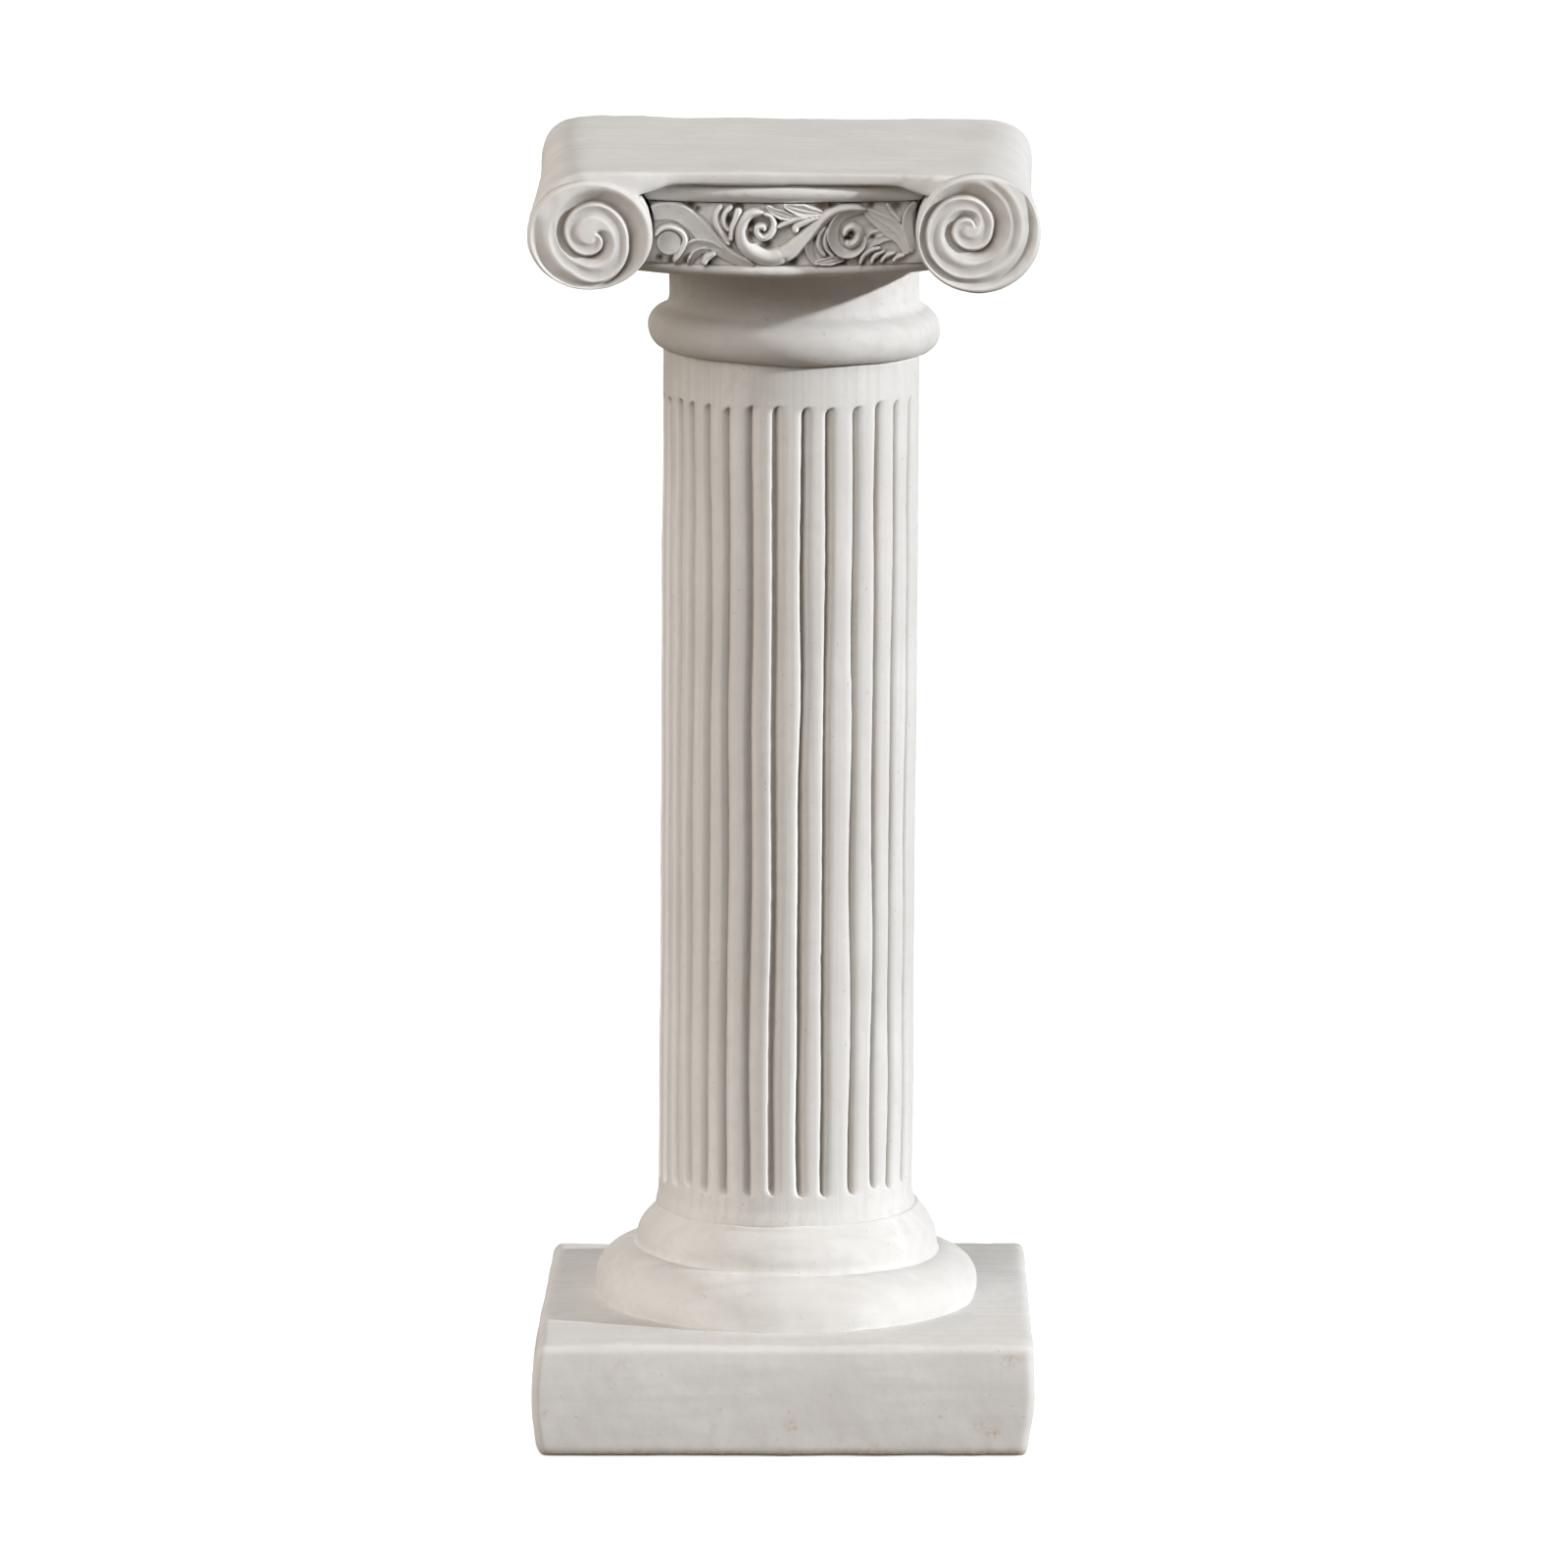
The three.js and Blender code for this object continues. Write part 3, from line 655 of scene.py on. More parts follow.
# The ends close as half circles round the flute's own middle.
end_wander = 0.5 * mm * draw.uniform(-1, 1, (2, flute_count, 1))
from_end = np.minimum(level - flute_foot - end_wander[0], flute_head + end_wander[1] - level)
opening = np.sqrt(np.clip(1 - (1 - np.clip(from_end / (flute_width / 2), 0, 1)) ** 2, 0, 1))
narrow = own_width * (0.35 + 0.65 * opening)
middle = flute_width / 2
edge_share = np.interp(across, (-0.6, 0.3, 1.5), (0, 1, 0))
offset = middle + (across * mm - middle) * narrow[:, :, None]
offset += wander[:, :, None] + nicks[:, :, None] * edge_share
place = flute_angles[:, None, None] + offset / shaft_radius

# Two columns share out the land between each flute and the next.
next_edge = np.roll(place[:, :, 1], -1, axis=0)
next_edge[-1] += 2 * math.pi
land = next_edge - place[:, :, -2]
place[:, :, -1] = place[:, :, -2] + land / 3
place[:, :, 0] = np.roll(place[:, :, -2] + land * 2 / 3, 1, axis=0)
place[0, :, 0] -= 2 * math.pi
sunk = (own_depth * opening**0.8)[:, :, None] * deepness

z = level[row]
direction = place[flute, row, member] - math.pi / 2
radius = shaft_radius - 0.12 * mm - sunk[flute, row, member]
radius += foot_flare * (1 - ease(z, shaft_low.z, shaft_low.z + 3.2 * mm))
lean = (z - shaft_low.z) / span
shift = shaft_foot_shift + (shaft_head_shift - shaft_foot_shift) * lean
points = np.column_stack([shift + radius * np.cos(direction), radius * np.sin(direction), z])
tilt = ease(z, flute_head + 2 * mm, shaft_high.z)
points[:, 2] -= head_tilt * points[:, 0] * tilt
set_points(shaft, points)
paint(shaft, "combed", np.full(len(z), 1.3))
# Painted highlight on each flute's left edge and painted shade in its hollow, both fading at the
# flute's ends.
paint(shaft, "painted_highlight", (opening[:, :, None] * edge_highlight)[flute, row, member])
paint(shaft, "recess", (opening[:, :, None] * flute_shade)[flute, row, member])
edit_all(shaft)
bpy.ops.mesh.remove_doubles(threshold=same_place)
turn_outwards()
work_by_hand(shaft, 0.10 * mm, 26 * mm, 21)
work_by_hand(shaft, 0.03 * mm, 3.5 * mm, 22)


def extrude_rim(piece):
    """Extrudes the open edges where they are and tells which points are the new ones."""
    edit_all(piece)
    bpy.ops.mesh.select_all(action="DESELECT")
    bpy.ops.mesh.select_non_manifold()
    bpy.ops.mesh.extrude_region_move()
    leave_edit()
    return np.array([v.select for v in piece.data.vertices])


# The two ends and the bore.
rim = extrude_rim(shaft)
points = points_of(shaft)
head_side = points[:, 2] > (shaft_low.z + shaft_high.z) / 2
rim_middle = np.where(head_side, shaft_head_shift, shaft_foot_shift)
away = np.hypot(points[:, 0] - rim_middle, points[:, 1])
points[rim, 0] = (rim_middle + (points[:, 0] - rim_middle) * shaft_bore / away)[rim]
points[rim, 1] = (points[:, 1] * shaft_bore / away)[rim]
set_points(shaft, points)
bpy.ops.object.mode_set(mode="EDIT")
bpy.ops.mesh.bridge_edge_loops()
turn_outwards()
finish_plaster(shaft, "fluted_shaft")


# ---- Neck and ring ----
# A plain neck with a fat half-round ring at its foot, turned in one. The joint under the ring
# shows as a thin dark line that drops a little to the right.
neck_shift = 2.0 * mm
neck_outline = (
    (25.6, 215.9), (27.2, 216.3), (28.5, 217.6), (29.2, 219.4), (29.2, 221.2), (28.5, 222.8),
    (27.3, 223.9), (26.0, 224.6), (25.2, 225.8), (25.0, 228.0), (25.1, 232.0), (25.2, 235.7),
)
neck = turned_ring("neck_ring", neck_outline, rod_bore, neck_shift)
for node in ("cap_pin_left", "cap_pin_right"):
    drill_for(neck, node)
points = points_of(neck)
neck_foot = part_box("neck_collar")[0].z
fade = 1 - ease(points[:, 2], neck_foot + 3 * mm, neck_foot + 12 * mm)
points[:, 2] -= head_tilt * points[:, 0] * fade
set_points(neck, points)
work_by_hand(neck, 0.16 * mm, 20 * mm, 13)
work_by_hand(neck, 0.04 * mm, 4 * mm, 14)
finish_plaster(neck, "neck_collar")


# ---- Capital: echinus drum ----
# The block under the abacus, with a rounded band along its bottom, a sunk field for the planted
# frieze and a bead under the abacus. Its front and back curve with the column.
drum_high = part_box("capital_drum")[1]
drum_half_width = 30 * mm
face_curve = 80 * mm
drum_grain = 0.5 * mm
# Height, reach forward from the column's axis, and how flat the curve is there, in millimetres.
drum_levels = (
    (235.7, 43.0, 42), (235.9, 44.0, 43), (236.6, 44.8, 46), (237.4, 44.8, 52), (238.0, 44.0, 58),
    (238.2, 41.1, 76), (250.4, 41.1, 80), (250.6, 43.9, 80), (251.2, 44.9, 80), (252.4, 45.4, 80),
    (253.4, 45.0, 80), (254.0, 43.9, 80), (254.4, 43.4, 80),
)
drum_columns = 49


def drum_ring(level):
    height, reach, curve = (value * mm for value in level)
    ring = []
    for side in (-1, 1):
        for x in np.linspace(-drum_half_width, drum_half_width, drum_columns) * -side:
            ring.append((x, side * (reach - x * x / (2 * curve)), height))
    return np.array(ring)


clear_selection()
bpy.ops.mesh.primitive_circle_add(vertices=2 * drum_columns, radius=1, fill_type="NGON")
drum = start_piece("echinus_drum")
set_points(drum, drum_ring(drum_levels[0]))
edit_all(drum)
for level in drum_levels[1:]:
    bpy.ops.mesh.extrude_region_move()
    leave_edit()
    top = np.array([v.select for v in drum.data.vertices])
    points = points_of(drum)
    points[top] = drum_ring(level)
    set_points(drum, points)
    bpy.ops.object.mode_set(mode="EDIT")
turn_outwards()

roll_axis = 245.6 * mm
roll_centre = 38.0 * mm
roll_half_width = 12.3 * mm
roll_half_height = 11.6 * mm
roll_half_length = 47.9 * mm
roll_waist = 1.2 * mm
roll_cuts = 23
cope_gap = 0.05 * mm
above_all = 300 * mm


def add_roll(name, side, gap=0.0):
    """One bolster: a long oval roll, slimmer at half length and squarer on top towards the back."""
    clear_selection()
    bpy.ops.mesh.primitive_cylinder_add(
        vertices=96, radius=1, depth=2 * roll_half_length, rotation=(math.pi / 2, 0, 0))
    roll = start_piece(name)
    edit_all(roll)
    bpy.ops.mesh.select_all(action="DESELECT")
    leave_edit()
    ends = points_of(roll)[:, 1]
    for edge in roll.data.edges:
        a, b = edge.vertices
        edge.select = bool(abs(ends[a] - ends[b]) > roll_half_length)
    bpy.ops.object.mode_set(mode="EDIT")
    bpy.ops.mesh.select_mode(type="EDGE")
    bpy.ops.mesh.subdivide(number_cuts=roll_cuts)
    bpy.ops.mesh.select_mode(type="VERT")
    leave_edit()
    points = points_of(roll)
    upper_outer = (side * points[:, 0] > 0) & (points[:, 2] > 0)
    power = 2 + ease(points[:, 1], -35 * mm, 25 * mm) * upper_outer
    square = (np.abs(points[:, 0]) ** power + np.abs(points[:, 2]) ** power) ** (-1 / power)
    points[:, 0] *= square
    points[:, 2] *= square
    slim = roll_waist * (1 - (points[:, 1] / roll_half_length) ** 2)
    top = roll_axis + roll_half_height
    tall = roll_half_height - slim
    points[:, 0] = side * roll_centre + points[:, 0] * (roll_half_width - slim + gap)
    points[:, 2] = top - tall + points[:, 2] * (tall + gap)
    set_points(roll, points)
    return roll


for side in (-1, 1):
    cut_away(drum, add_roll("cope", side, cope_gap))
mortise = 12 * mm
mortise_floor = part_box("cap_washer")[0].z
cut_away(drum, add_block(
    "mortise", (-mortise, -mortise, mortise_floor), (mortise, mortise, above_all)))
for node in ("tie_rod", "cap_pin_left", "cap_pin_right"):
    drill_for(drum, node)
apply_modifier(drum, "REMESH", mode="VOXEL", voxel_size=drum_grain)
apply_modifier(drum, "SMOOTH", factor=0.5, iterations=3)
work_by_hand(drum, 0.10 * mm, 14 * mm, 31)
work_by_hand(drum, 0.03 * mm, 3 * mm, 32)
finish_plaster(drum, "capital_drum")


# ---- Capital: abacus and rolls ----
# The top slab and the two rolls are one casting, with soft edges where the slab runs into the
# rolls. The top was brushed smooth and slopes a little down to the right, and the back sits a
# little to the right of the front.
slab_half_depth = 45.6 * mm
slab_half_width = 39.2 * mm
slab_flare = 2.6 * mm
slab_cuts = 40
cap_grain = 0.7 * mm
top_slope = 0.0085
back_shift = 0.55 * mm
back_narrowing = 0.006
slab_fillet = 1.5 * mm
top_drop = 0.25 * mm
tenon_gap = 0.3 * mm
tenon_length = 10.8 * mm
nut_pocket_radius = 7 * mm
nut_pocket_depth = 8.4 * mm

cap_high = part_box("abacus_block")[1]
slab_bottom = drum_high.z
slab = add_block(
    "abacus", (-slab_half_width, -slab_half_depth, slab_bottom),
    (slab_half_width, slab_half_depth, cap_high.z))
edit_all(slab)
bpy.ops.mesh.subdivide(number_cuts=slab_cuts)
leave_edit()
points = points_of(slab)
flare = slab_flare * ease(np.abs(points[:, 0]), 19 * mm, 33 * mm)
points[:, 1] *= 1 + flare / slab_half_depth
set_points(slab, points)
tenon = mortise - tenon_gap
tenon_foot = slab_bottom - tenon_length
tenon_block = add_block(
    "tenon", (-tenon, -tenon, tenon_foot), (tenon, tenon, slab_bottom + overcut))
drill(tenon_block, nut_pocket_radius, tenon_foot - overcut, tenon_foot + nut_pocket_depth)
rolls = [add_roll("roll", side) for side in (-1, 1)]
clear_selection()
for part in (tenon_block, *rolls, slab):
    part.select_set(True)
bpy.context.view_layer.objects.active = slab
bpy.ops.object.join()
apply_modifier(slab, "REMESH", mode="VOXEL", voxel_size=cap_grain)
apply_modifier(slab, "SMOOTH", factor=0.5, iterations=5)
points = points_of(slab)
upper = ease(points[:, 2], slab_bottom - 6 * mm, cap_high.z)
points[:, 2] -= upper * (top_drop + top_slope * (points[:, 0] + roll_centre * 0.6))
x, y, z = np.abs(points).T
fillet = slab_fillet * ease(x, 21 * mm, 28 * mm) * (1 - ease(x, 31 * mm, 36 * mm))
fillet *= ease(y, 35 * mm, 41 * mm)
fillet *= ease(z, slab_bottom - 3 * mm, slab_bottom - 0.5 * mm)
points[:, 2] -= fillet * (1 - ease(z, slab_bottom, cap_high.z - 0.4 * mm))
free = np.maximum(ease(np.abs(points[:, 0]), 14 * mm, 24 * mm), points[:, 2] > slab_bottom)
back = ease(points[:, 1], -30 * mm, cap_high.y) * free
points[:, 0] += back * (back_shift - back_narrowing * points[:, 0])
set_points(slab, points)
work_by_hand(slab, 0.16 * mm, 24 * mm, 41)
work_by_hand(slab, 0.04 * mm, 4 * mm, 42)
finish_plaster(slab, "abacus_block")


# ---- Volutes ----
# Four scroll faces planted on the ends of the rolls. The front two are modelled one by one, and
# the back two are copies of them, turned half round. A groove winds in to the eye, and each turn
# rises from it in a hollow curve to a crisp rim.
volute_grid = 120
volute_depth = 2.1 * mm
volute_edge = 0.9 * mm
band_dish = 0.34 * mm
face_plane = -50.3 * mm
rim_drop = 0.9 * mm
eye_lift = 0.35 * mm
eye_size = 1.1 * mm
volute_back = -47.7 * mm
# Each groove, from outside to the eye: its turn in degrees, counted from the right and up, and in
# millimetres its radius, depth, and the widths over which it falls on the eye's side and rises on
# the outer side.
left_volute = {
    "centre": (-38.0, 244.9), "size": (12.3, 10.75), "eye": (0.3, -0.4),
    "groove": (
        (-215, 11.6, 0.0, 3.0, 0.9), (-165, 11.0, 0.7, 3.0, 0.9), (-120, 10.2, 0.9, 2.5, 1.0),
        (-90, 9.8, 1.1, 1.2, 1.1), (-72, 9.5, 1.6, 0.8, 1.8), (-40, 8.8, 1.9, 0.8, 3.0),
        (-8, 7.9, 1.9, 0.9, 3.9), (35, 7.5, 1.9, 0.9, 3.8), (78, 7.2, 1.9, 0.7, 3.2),
        (118, 6.6, 1.9, 0.5, 2.6), (155, 5.9, 1.9, 0.5, 2.4), (210, 4.7, 1.8, 0.5, 2.2),
        (265, 3.9, 1.7, 0.6, 2.0), (305, 3.4, 1.5, 0.7, 2.4), (340, 2.9, 1.4, 0.8, 2.4),
        (372, 2.2, 1.2, 0.8, 1.9), (405, 1.4, 0.6, 0.7, 1.2),
    ),
}
right_volute = {
    "centre": (38.0, 245.2), "size": (12.25, 11.7), "eye": (-1.6, 0.7),
    "groove": (
        (440, 13.4, 0.0, 2.5, 0.8), (400, 12.9, 0.6, 2.5, 0.8), (350, 12.2, 0.7, 2.5, 0.9),
        (300, 11.1, 0.6, 2.0, 1.0), (254, 10.2, 1.3, 0.8, 1.5), (215, 9.6, 1.7, 0.5, 1.7),
        (178, 8.8, 1.8, 0.5, 1.6), (140, 8.0, 1.9, 0.5, 2.0), (104, 7.2, 1.9, 0.7, 3.0),
        (50, 6.0, 1.9, 0.9, 3.9), (0, 4.9, 1.9, 0.9, 3.9), (-53, 4.6, 1.8, 0.8, 2.8),
        (-100, 4.2, 1.7, 0.6, 2.2), (-171, 3.9, 1.8, 0.5, 2.1), (-235, 3.1, 1.6, 0.7, 2.0),
        (-290, 2.3, 1.3, 0.8, 1.9), (-330, 1.4, 0.5, 0.7, 1.2),
    ),
}


def groove_sink(x, z, groove):
    """How far the face sinks at each place, round a groove that winds in to the eye."""
    turns, radii, depths, falls, rises = np.array(groove, float).T
    turns = np.radians(turns)
    sense = 1 if turns[-1] > turns[0] else -1
    unwound = sense * turns
    radius = np.hypot(x, z)
    angle = sense * np.arctan2(z, x)
    sink = np.zeros(len(x))
    for lap in range(-3, 5):
        place = angle + 2 * math.pi * lap
        line, depth, fall, rise = (
            mm * np.interp(place, unwound, part) for part in (radii, depths, falls, rises))
        beyond = radius - line
        outside = np.clip(1 - beyond / rise, 0, 1) ** 1.7
        within = ease(beyond / fall, -1, 0)
        dish = band_dish * np.sin(math.pi * np.clip((-beyond - fall) / (2.6 * mm), 0, 1))
        profile = np.where(beyond > 0, depth * outside, np.maximum(depth * within, dish))
        end = ease(place, unwound[0] - 0.05, unwound[0] + 0.4) * (
            1 - ease(place, unwound[-1] - 0.5, unwound[-1] + 0.4))
        sink = np.maximum(sink, profile * end)
    return sink


def close_back():
    """Fills the rim that is still selected with one face."""
    bpy.ops.object.mode_set(mode="EDIT")
    bpy.ops.mesh.edge_face_add()
    turn_outwards()


def make_volute(name, shape):
    """A domed disc on the end of a roll, sunk along its groove, with a flat glued back."""
    clear_selection()
    bpy.ops.mesh.primitive_grid_add(x_subdivisions=volute_grid, y_subdivisions=volute_grid, size=2)
    volute = start_piece(name)
    points = points_of(volute)
    across, rise = points[:, 0], points[:, 1]
    round_x = across * np.sqrt(1 - rise**2 / 2)
    round_z = rise * np.sqrt(1 - across**2 / 2)
    half_width, half_height = (value * mm for value in shape["size"])
    centre_x, centre_z = (value * mm for value in shape["centre"])
    eye_x, eye_z = (value * mm for value in shape["eye"])
    x = round_x * half_width
    z = round_z * half_height
    sink = groove_sink(x - eye_x, z - eye_z, shape["groove"])
    from_edge = (1 - np.hypot(round_x, round_z)) * half_height
    edge = np.clip(from_edge / volute_edge, 0, 1)
    sink = np.maximum(sink, rim_drop * (1 - np.sqrt(1 - (1 - edge) ** 2)))
    from_eye = np.hypot(x - eye_x, z - eye_z)
    sink -= eye_lift * np.exp(-((from_eye / eye_size) ** 2))
    sink = np.clip(sink, 0, volute_depth)
    set_points(volute, np.column_stack([centre_x + x, face_plane + sink, centre_z + z]))
    # Painted shade darkens the face the deeper it sinks, plus a little random mottling; painted
    # highlight whitens it where it isn't sunk.
    shade_and_mottling = 0.95 * np.clip(sink / volute_depth, 0, 1) ** 1.4
    shade_and_mottling += 0.10 * np.clip(swells(points_of(volute), 2.4 * mm, 52), 0, 1)
    paint(volute, "recess", shade_and_mottling * (from_edge > volute_edge))
    paint(volute, "painted_highlight", 1 - ease(sink, 0.03 * mm, 0.25 * mm))
    rim = extrude_rim(volute)
    points = points_of(volute)
    points[rim, 1] = volute_back
    set_points(volute, points)
    close_back()
    work_by_hand(volute, 0.05 * mm, 5 * mm, 51)
    return volute


def turned_to_back(piece, name, shift=0.0, narrowing=0.0):
    """A copy with its own mesh, turned half round the column and set to the capital's back."""
    copy = piece.copy()
    copy.data = piece.data.copy()
    copy.name = name
    bpy.context.collection.objects.link(copy)
    points = points_of(copy)
    points[:, :2] *= -1
    points[:, 0] += shift - narrowing * points[:, 0]
    set_points(copy, points)
    return copy


volute_left = make_volute("volute_front_left", left_volute)
volute_right = make_volute("volute_front_right", right_volute)
volute_back_right = turned_to_back(volute_left, "volute_back_right", back_shift, back_narrowing)
volute_back_left = turned_to_back(volute_right, "volute_back_left", back_shift, back_narrowing)
finish_plaster(volute_left, "scroll_front_left")
finish_plaster(volute_right, "scroll_front_right")
finish_plaster(volute_back_right, "scroll_back_right")
finish_plaster(volute_back_left, "scroll_back_left")


# ---- Frieze strips ----
# Planted strips of scrolling acanthus in high relief, one in front and one behind: stems that
# curl into two scrolls, with leaves and lobes in the spaces, cut deep between.
frieze_low, frieze_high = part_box("frieze_front")
frieze_columns = 390
frieze_rows = 84
frieze_relief = 2.65 * mm
frieze_field = 42.75 * mm
frieze_thickness = 1.7 * mm
stroke_spread = 1.38
stroke_wall = 0.22
pocket_spread = 1.5
pocket_depth = 0.5
strip_end_gap = 0.3 * mm

# Each stroke: its kind, the side its rim is on, how high it stands, its widths at the start,
# middle and end, and its line, as places across and up from the strip's bottom, in millimetres.
frieze_strokes = (
    ("sloped", 1, 0.95, (3.0, 3.2, 1.2), (
        (-26.5, 9.9), (-23.3, 10.5), (-20.4, 10.1), (-17.6, 8.1), (-15.2, 5.7), (-12.3, 3.0),
        (-9.0, 1.0), (-6.0, 0.2))),
    ("round", 1, 1.0, (0.9, 1.1, 0.7), (
        (-25.2, 5.6), (-23.8, 7.0), (-21.9, 7.3), (-20.0, 6.4), (-19.3, 4.8), (-20.1, 2.8),
        (-21.6, 0.6))),
    ("sloped", 1, 0.95, (1.4, 2.0, 0.8), (
        (-21.3, 0.2), (-20.3, 2.2), (-18.8, 3.3), (-16.6, 4.1), (-14.1, 3.9), (-11.8, 2.8))),
    ("sloped", 1, 0.9, (1.0, 1.3, 0.7), (
        (-18.6, 0.1), (-17.8, 1.7), (-16.2, 2.8), (-14.6, 3.0))),
    ("round", 1, 0.95, (0.9, 1.3, 0.7), (
        (-15.7, 0.3), (-15.0, 1.6), (-13.5, 2.4))),
    ("round", 1, 0.9, (0.6, 1.3, 0.9), (
        (-12.2, 12.1), (-13.2, 10.2), (-13.1, 8.2), (-12.0, 6.1), (-10.7, 4.1))),
    ("round", 1, 0.9, (0.6, 1.0, 0.7), (
        (-10.2, 11.8), (-11.6, 10.2), (-11.8, 8.5), (-10.9, 6.8))),
    ("round", 1, 0.95, (1.2, 1.1, 0.7), (
        (-8.8, 11.2), (-9.4, 9.2), (-10.2, 7.2), (-10.4, 5.0))),
    ("round", 1, 1.0, (1.2, 2.3, 2.7), (
        (-4.0, 10.7), (-6.5, 10.2), (-8.0, 8.5), (-8.4, 6.4), (-7.7, 4.1), (-5.6, 2.4),
        (-2.8, 1.6), (0.3, 2.3))),
    ("round", 1, 1.0, (2.7, 2.0, 1.0), (
        (-0.8, 1.9), (1.2, 2.9), (3.2, 4.7), (5.6, 7.1), (7.7, 9.3), (10.2, 10.7), (13.0, 11.3),
        (15.7, 11.1))),
    ("round", 1, 0.95, (0.8, 1.2, 1.2), (
        (-4.1, 10.4), (-2.5, 9.8), (-1.9, 8.2), (-2.5, 6.5), (-3.9, 5.6), (-5.1, 6.4),
        (-5.1, 7.6), (-4.0, 7.8), (-3.8, 7.0))),
    ("leaf", 1, 1.0, (0.6, 1.6, 0.6), (
        (-3.4, 11.8), (-1.8, 10.7), (0.7, 9.8), (2.9, 9.6))),
    ("leaf", 1, 1.0, (0.8, 2.2, 0.7), (
        (0.0, 12.1), (2.1, 11.3), (4.6, 10.7), (7.6, 10.4))),
    ("round", 1, 0.9, (0.6, 1.1, 0.6), (
        (-1.4, 7.6), (0.0, 8.4), (2.1, 9.2), (4.6, 9.6))),
    ("round", 1, 0.95, (1.1, 1.3, 0.6), (
        (2.3, 6.8), (2.4, 7.9), (3.9, 8.7), (6.7, 9.6))),
    ("sloped", 1, 0.9, (0.8, 1.4, 0.6), (
        (6.5, 0.2), (5.1, 2.3), (4.9, 4.3), (6.0, 6.1), (7.5, 7.5))),
    ("round", 1, 0.8, (0.7, 1.0, 0.5), (
        (8.1, 1.9), (6.9, 3.7), (6.9, 5.7), (8.1, 7.8))),
    ("round", 1, 0.8, (0.6, 0.8, 0.5), (
        (9.8, 1.6), (8.3, 3.4), (8.0, 5.4), (8.6, 7.4))),
    ("leaf", 1, 0.8, (0.7, 1.5, 0.7), (
        (6.4, 0.6), (9.2, 0.9), (11.8, 1.3))),
    ("sloped", -1, 1.0, (1.2, 1.9, 1.1), (
        (16.2, 10.9), (13.4, 10.6), (11.1, 9.5), (9.9, 7.8), (9.6, 5.5), (10.4, 3.5), (12.0, 2.4),
        (13.9, 2.6), (15.3, 3.9), (15.8, 5.6))),
    ("round", 1, 1.0, (0.9, 1.5, 1.2), (
        (11.8, 5.9), (12.3, 7.1), (13.5, 7.6), (14.7, 6.6), (14.3, 4.9), (13.0, 4.1), (12.4, 4.8))),
    ("leaf", 1, 0.6, (1.4, 3.2, 1.2), (
        (16.0, 10.6), (18.3, 8.9), (20.8, 7.2), (22.9, 5.1), (24.3, 2.0))),
    ("leaf", 1, 0.55, (1.0, 2.4, 1.4), (
        (15.2, 2.9), (16.6, 4.4), (19.0, 5.6), (21.8, 5.6))),
    ("round", 1, 0.85, (0.6, 1.0, 0.5), (
        (14.9, 0.2), (15.6, 1.9), (17.2, 3.0), (19.0, 3.3))),
    ("round", 1, 0.85, (0.6, 0.9, 0.5), (
        (17.1, 0.4), (17.9, 1.8), (19.7, 2.7))),
    ("round", 1, 0.8, (0.6, 0.9, 0.5), (
        (19.0, 0.5), (20.0, 1.7), (21.8, 2.3))),
    ("round", 1, 0.8, (0.6, 0.9, 0.5), (
        (21.4, 0.6), (22.2, 1.4), (23.6, 1.7))),
    ("sloped", -1, 0.85, (1.0, 1.8, 1.0), (
        (25.9, 12.0), (24.5, 10.2), (24.2, 7.8), (24.7, 5.1), (25.2, 2.2))),
    ("round", 1, 0.6, (0.5, 0.9, 0.5), (
        (20.2, 12.0), (21.4, 10.1), (22.8, 8.4))),
)
frieze_bosses = ((-22.55, 4.2, 2.7, 0.85),)
frieze_ground = 0.08
# Deep pockets that an undercutting tool left between the forms: across, up, size, in millimetres.
frieze_pockets = (
    (-27.0, 10.6, 0.55), (-18.2, 11.7, 0.6), (-16.9, 10.9, 0.4), (-8.8, 11.6, 0.7),
    (-10.9, 8.9, 0.5), (-6.5, 8.2, 0.55), (-6.4, 5.9, 0.5), (-5.7, 7.3, 0.4), (-3.2, 4.3, 0.55),
    (-1.6, 9.0, 0.45), (-1.9, 7.9, 0.4), (7.4, 11.9, 0.8), (9.3, 11.7, 0.6), (17.0, 11.8, 0.5),
    (22.0, 11.4, 0.8), (-21.9, 0.5, 0.5), (-18.9, 0.4, 0.5), (1.8, 0.8, 0.6), (11.2, 0.9, 0.7),
    (8.5, 2.6, 0.55), (12.6, 6.6, 0.5), (12.4, 5.2, 0.4), (17.4, 5.4, 0.4), (3.4, 3.6, 0.4),
    (6.2, 5.4, 0.4), (15.2, 0.5, 0.4), (17.6, 0.8, 0.35), (19.4, 0.9, 0.35), (-14.9, 0.5, 0.4),
    (-24.3, 1.0, 0.4),
)


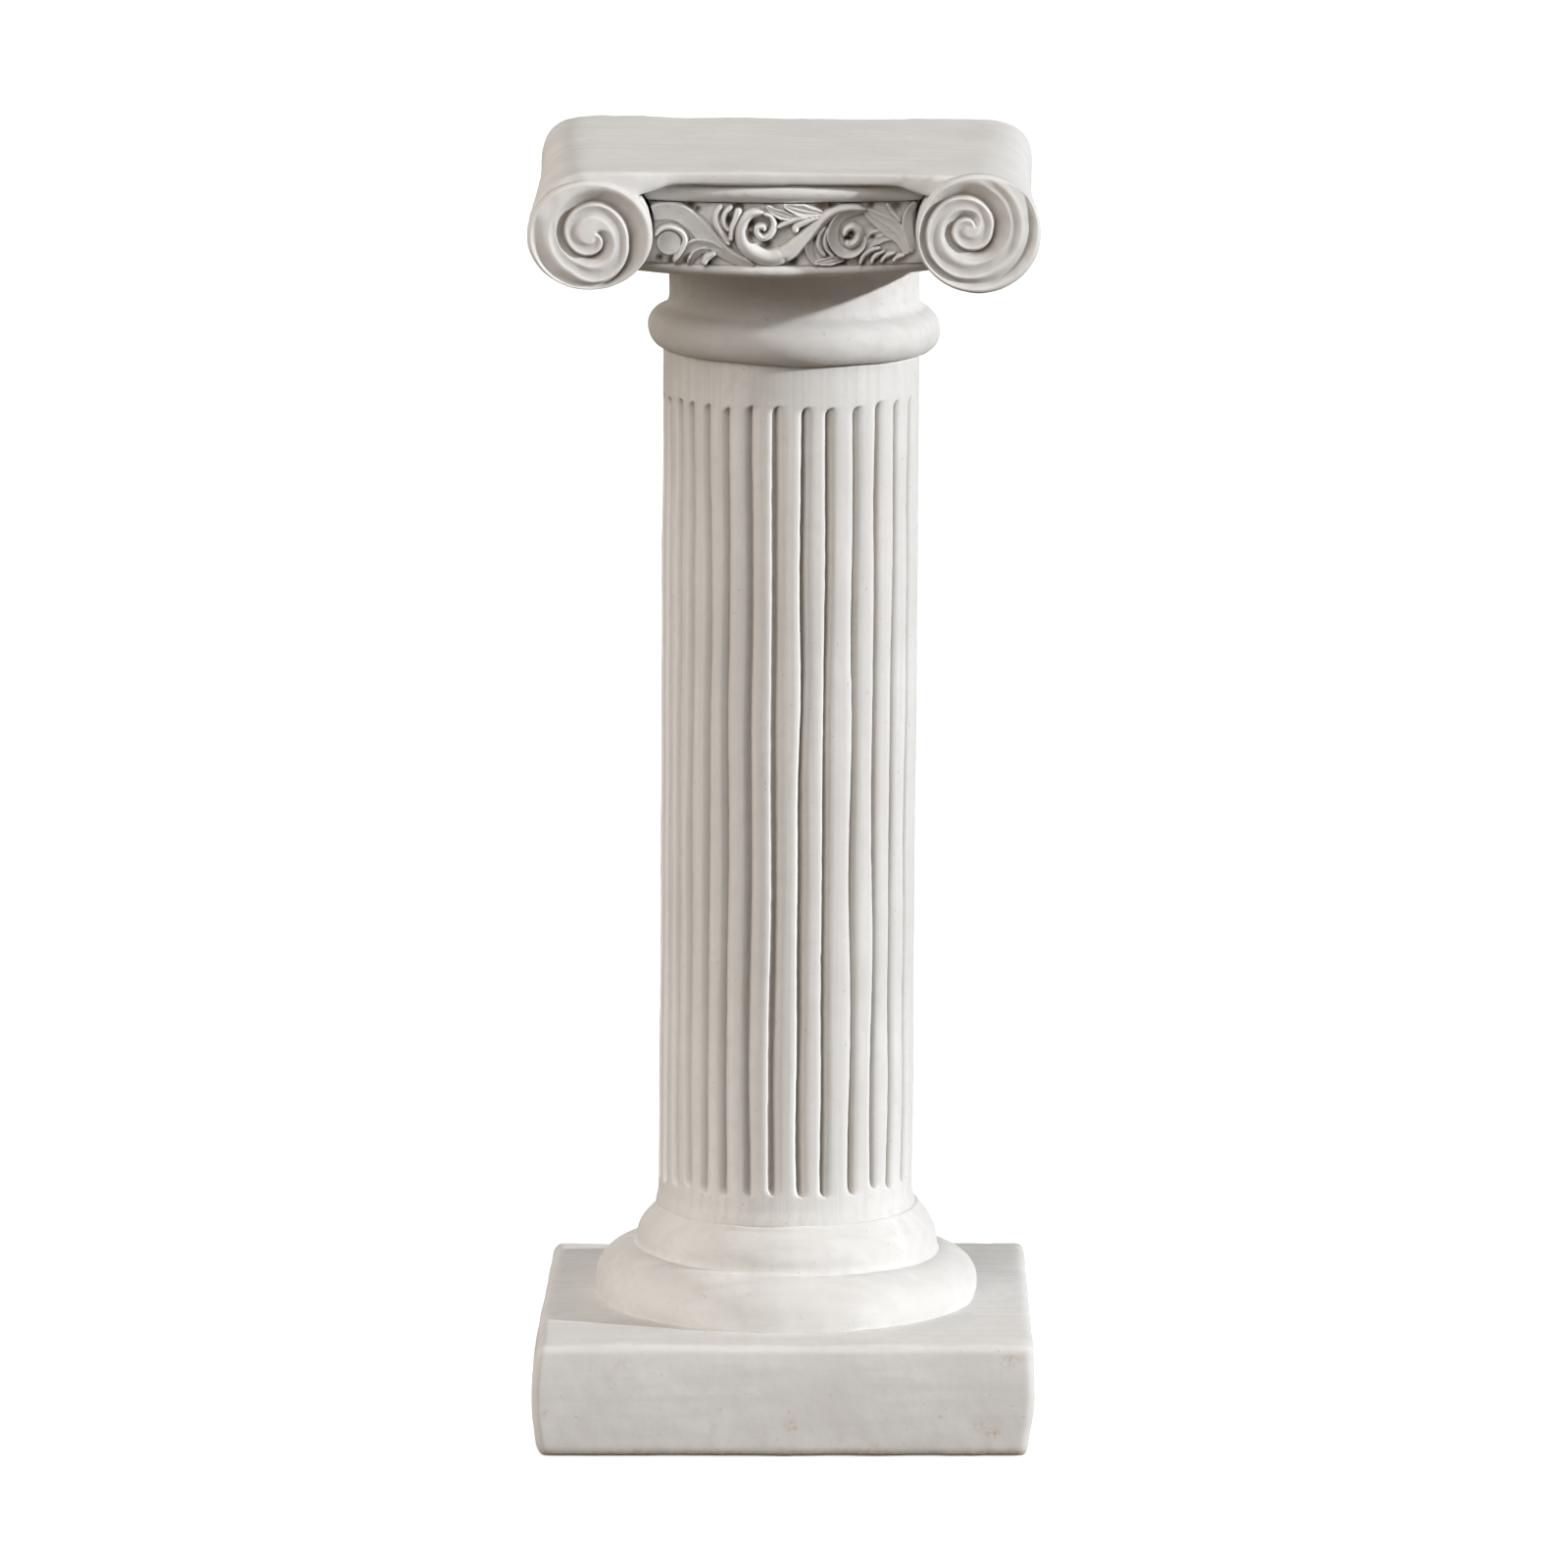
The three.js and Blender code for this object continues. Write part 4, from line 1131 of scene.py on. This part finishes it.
def stroke_relief(x, up, stroke):
    """The height that one stroke gives each place of the strip, from 0 to 1."""
    kind, side, height, widths, line = stroke
    steps = 90
    curve = smooth_line(line, steps)
    tangent = np.gradient(curve, axis=0)
    tangent /= np.linalg.norm(tangent, axis=1)[:, None]
    share = np.linspace(0, 1, steps)
    half = np.interp(share, (0, 0.5, 1), widths) * stroke_spread / 2
    half *= np.sqrt(np.clip(np.minimum(share, 1 - share) * 14, 0.05, 1))
    box_low = curve.min(axis=0) - max(widths)
    box_high = curve.max(axis=0) + max(widths)
    near = (x > box_low[0]) & (x < box_high[0]) & (up > box_low[1]) & (up < box_high[1])
    dx = x[near][:, None] - curve[:, 0]
    dz = up[near][:, None] - curve[:, 1]
    away = np.hypot(dx, dz)
    closest = np.argmin(away / half, axis=1)
    each = np.arange(len(closest))
    q = away[each, closest] / half[closest]
    turn = tangent[closest]
    signed = turn[:, 0] * dz[each, closest] - turn[:, 1] * dx[each, closest]
    s = np.clip(side * signed / half[closest], -1, 1)
    wall = ease(1 - q, 0, stroke_wall)
    if kind == "round":
        form = np.sqrt(np.clip(1 - q * q, 0, 1))
    elif kind == "sloped":
        form = wall * (0.35 + 0.65 * ((s + 1) / 2) ** 1.4)
    else:
        form = wall * (0.62 + 0.38 * q**2 + 0.16 * np.exp(-((q / 0.16) ** 2)))
    relief = np.zeros(len(x))
    relief[near] = height * np.where(q < 1, form, 0)
    return relief


clear_selection()
bpy.ops.mesh.primitive_grid_add(x_subdivisions=frieze_columns, y_subdivisions=frieze_rows, size=2)
frieze = start_piece("frieze_strip_front")
points = points_of(frieze)
strip_height = frieze_high.z - frieze_low.z
strip_half = frieze_high.x
z = frieze_low.z + (points[:, 1] + 1) / 2 * strip_height
end_bulge = roll_half_width * np.sqrt(np.clip(1 - ((z - roll_axis) / roll_half_height) ** 2, 0, 1))
x = points[:, 0] * np.minimum(strip_half, roll_centre - end_bulge - strip_end_gap)
strip_x = x / mm
strip_up = (z - frieze_low.z) / mm
relief = np.zeros(len(x))
for stroke in frieze_strokes:
    relief = np.maximum(relief, stroke_relief(strip_x, strip_up, stroke))
for across, up, size, height in frieze_bosses:
    q = np.hypot(strip_x - across, strip_up - up) / size
    wall = ease(1 - q, 0, 0.2)
    relief = np.maximum(relief, height * wall * (0.55 + 0.45 * q**2))
relief = np.maximum(relief, frieze_ground + 0.10 * swells(np.column_stack([x, z, z]), 5 * mm, 61))
pocket = np.zeros(len(x))
for across, up, size in frieze_pockets:
    away = np.hypot(strip_x - across, strip_up - up) / size
    pocket = np.maximum(pocket, np.exp(-((away / pocket_spread) ** 2)))
pocket *= 1 - ease(relief, 0.35, 0.7)

# Painted shade darkens the pockets and wherever the strip lies lower than what surrounds it, and
# painted highlight whitens what stands out.
around = relief.reshape(frieze_rows + 1, frieze_columns + 1)
for _ in range(24):
    around = (np.roll(around, 1, 0) + np.roll(around, -1, 0) + 2 * around) / 4
    around = (np.roll(around, 1, 1) + np.roll(around, -1, 1) + 2 * around) / 4
hollow = around.ravel() - relief
paint(frieze, "recess", np.clip(1.2 * pocket + 0.7 * ease(hollow, 0.04, 0.34), 0, 1))
paint(frieze, "painted_highlight", ease(-hollow, 0.02, 0.22))

relief -= pocket_depth * pocket
curve_back = x * x / (2 * face_curve)
y = curve_back - frieze_field - relief * frieze_relief
set_points(frieze, np.column_stack([x, y, z]))

# The strip's edges go back to its glued face, which closes it.
rim = extrude_rim(frieze)
points = points_of(frieze)
points[rim, 1] = points[rim, 0] ** 2 / (2 * face_curve) - frieze_field + frieze_thickness
set_points(frieze, points)
close_back()
frieze_behind = turned_to_back(frieze, "frieze_strip_back")
finish_plaster(frieze, "frieze_front")
finish_plaster(frieze_behind, "frieze_back")


# ---- Leaving nothing selected ----
clear_selection()
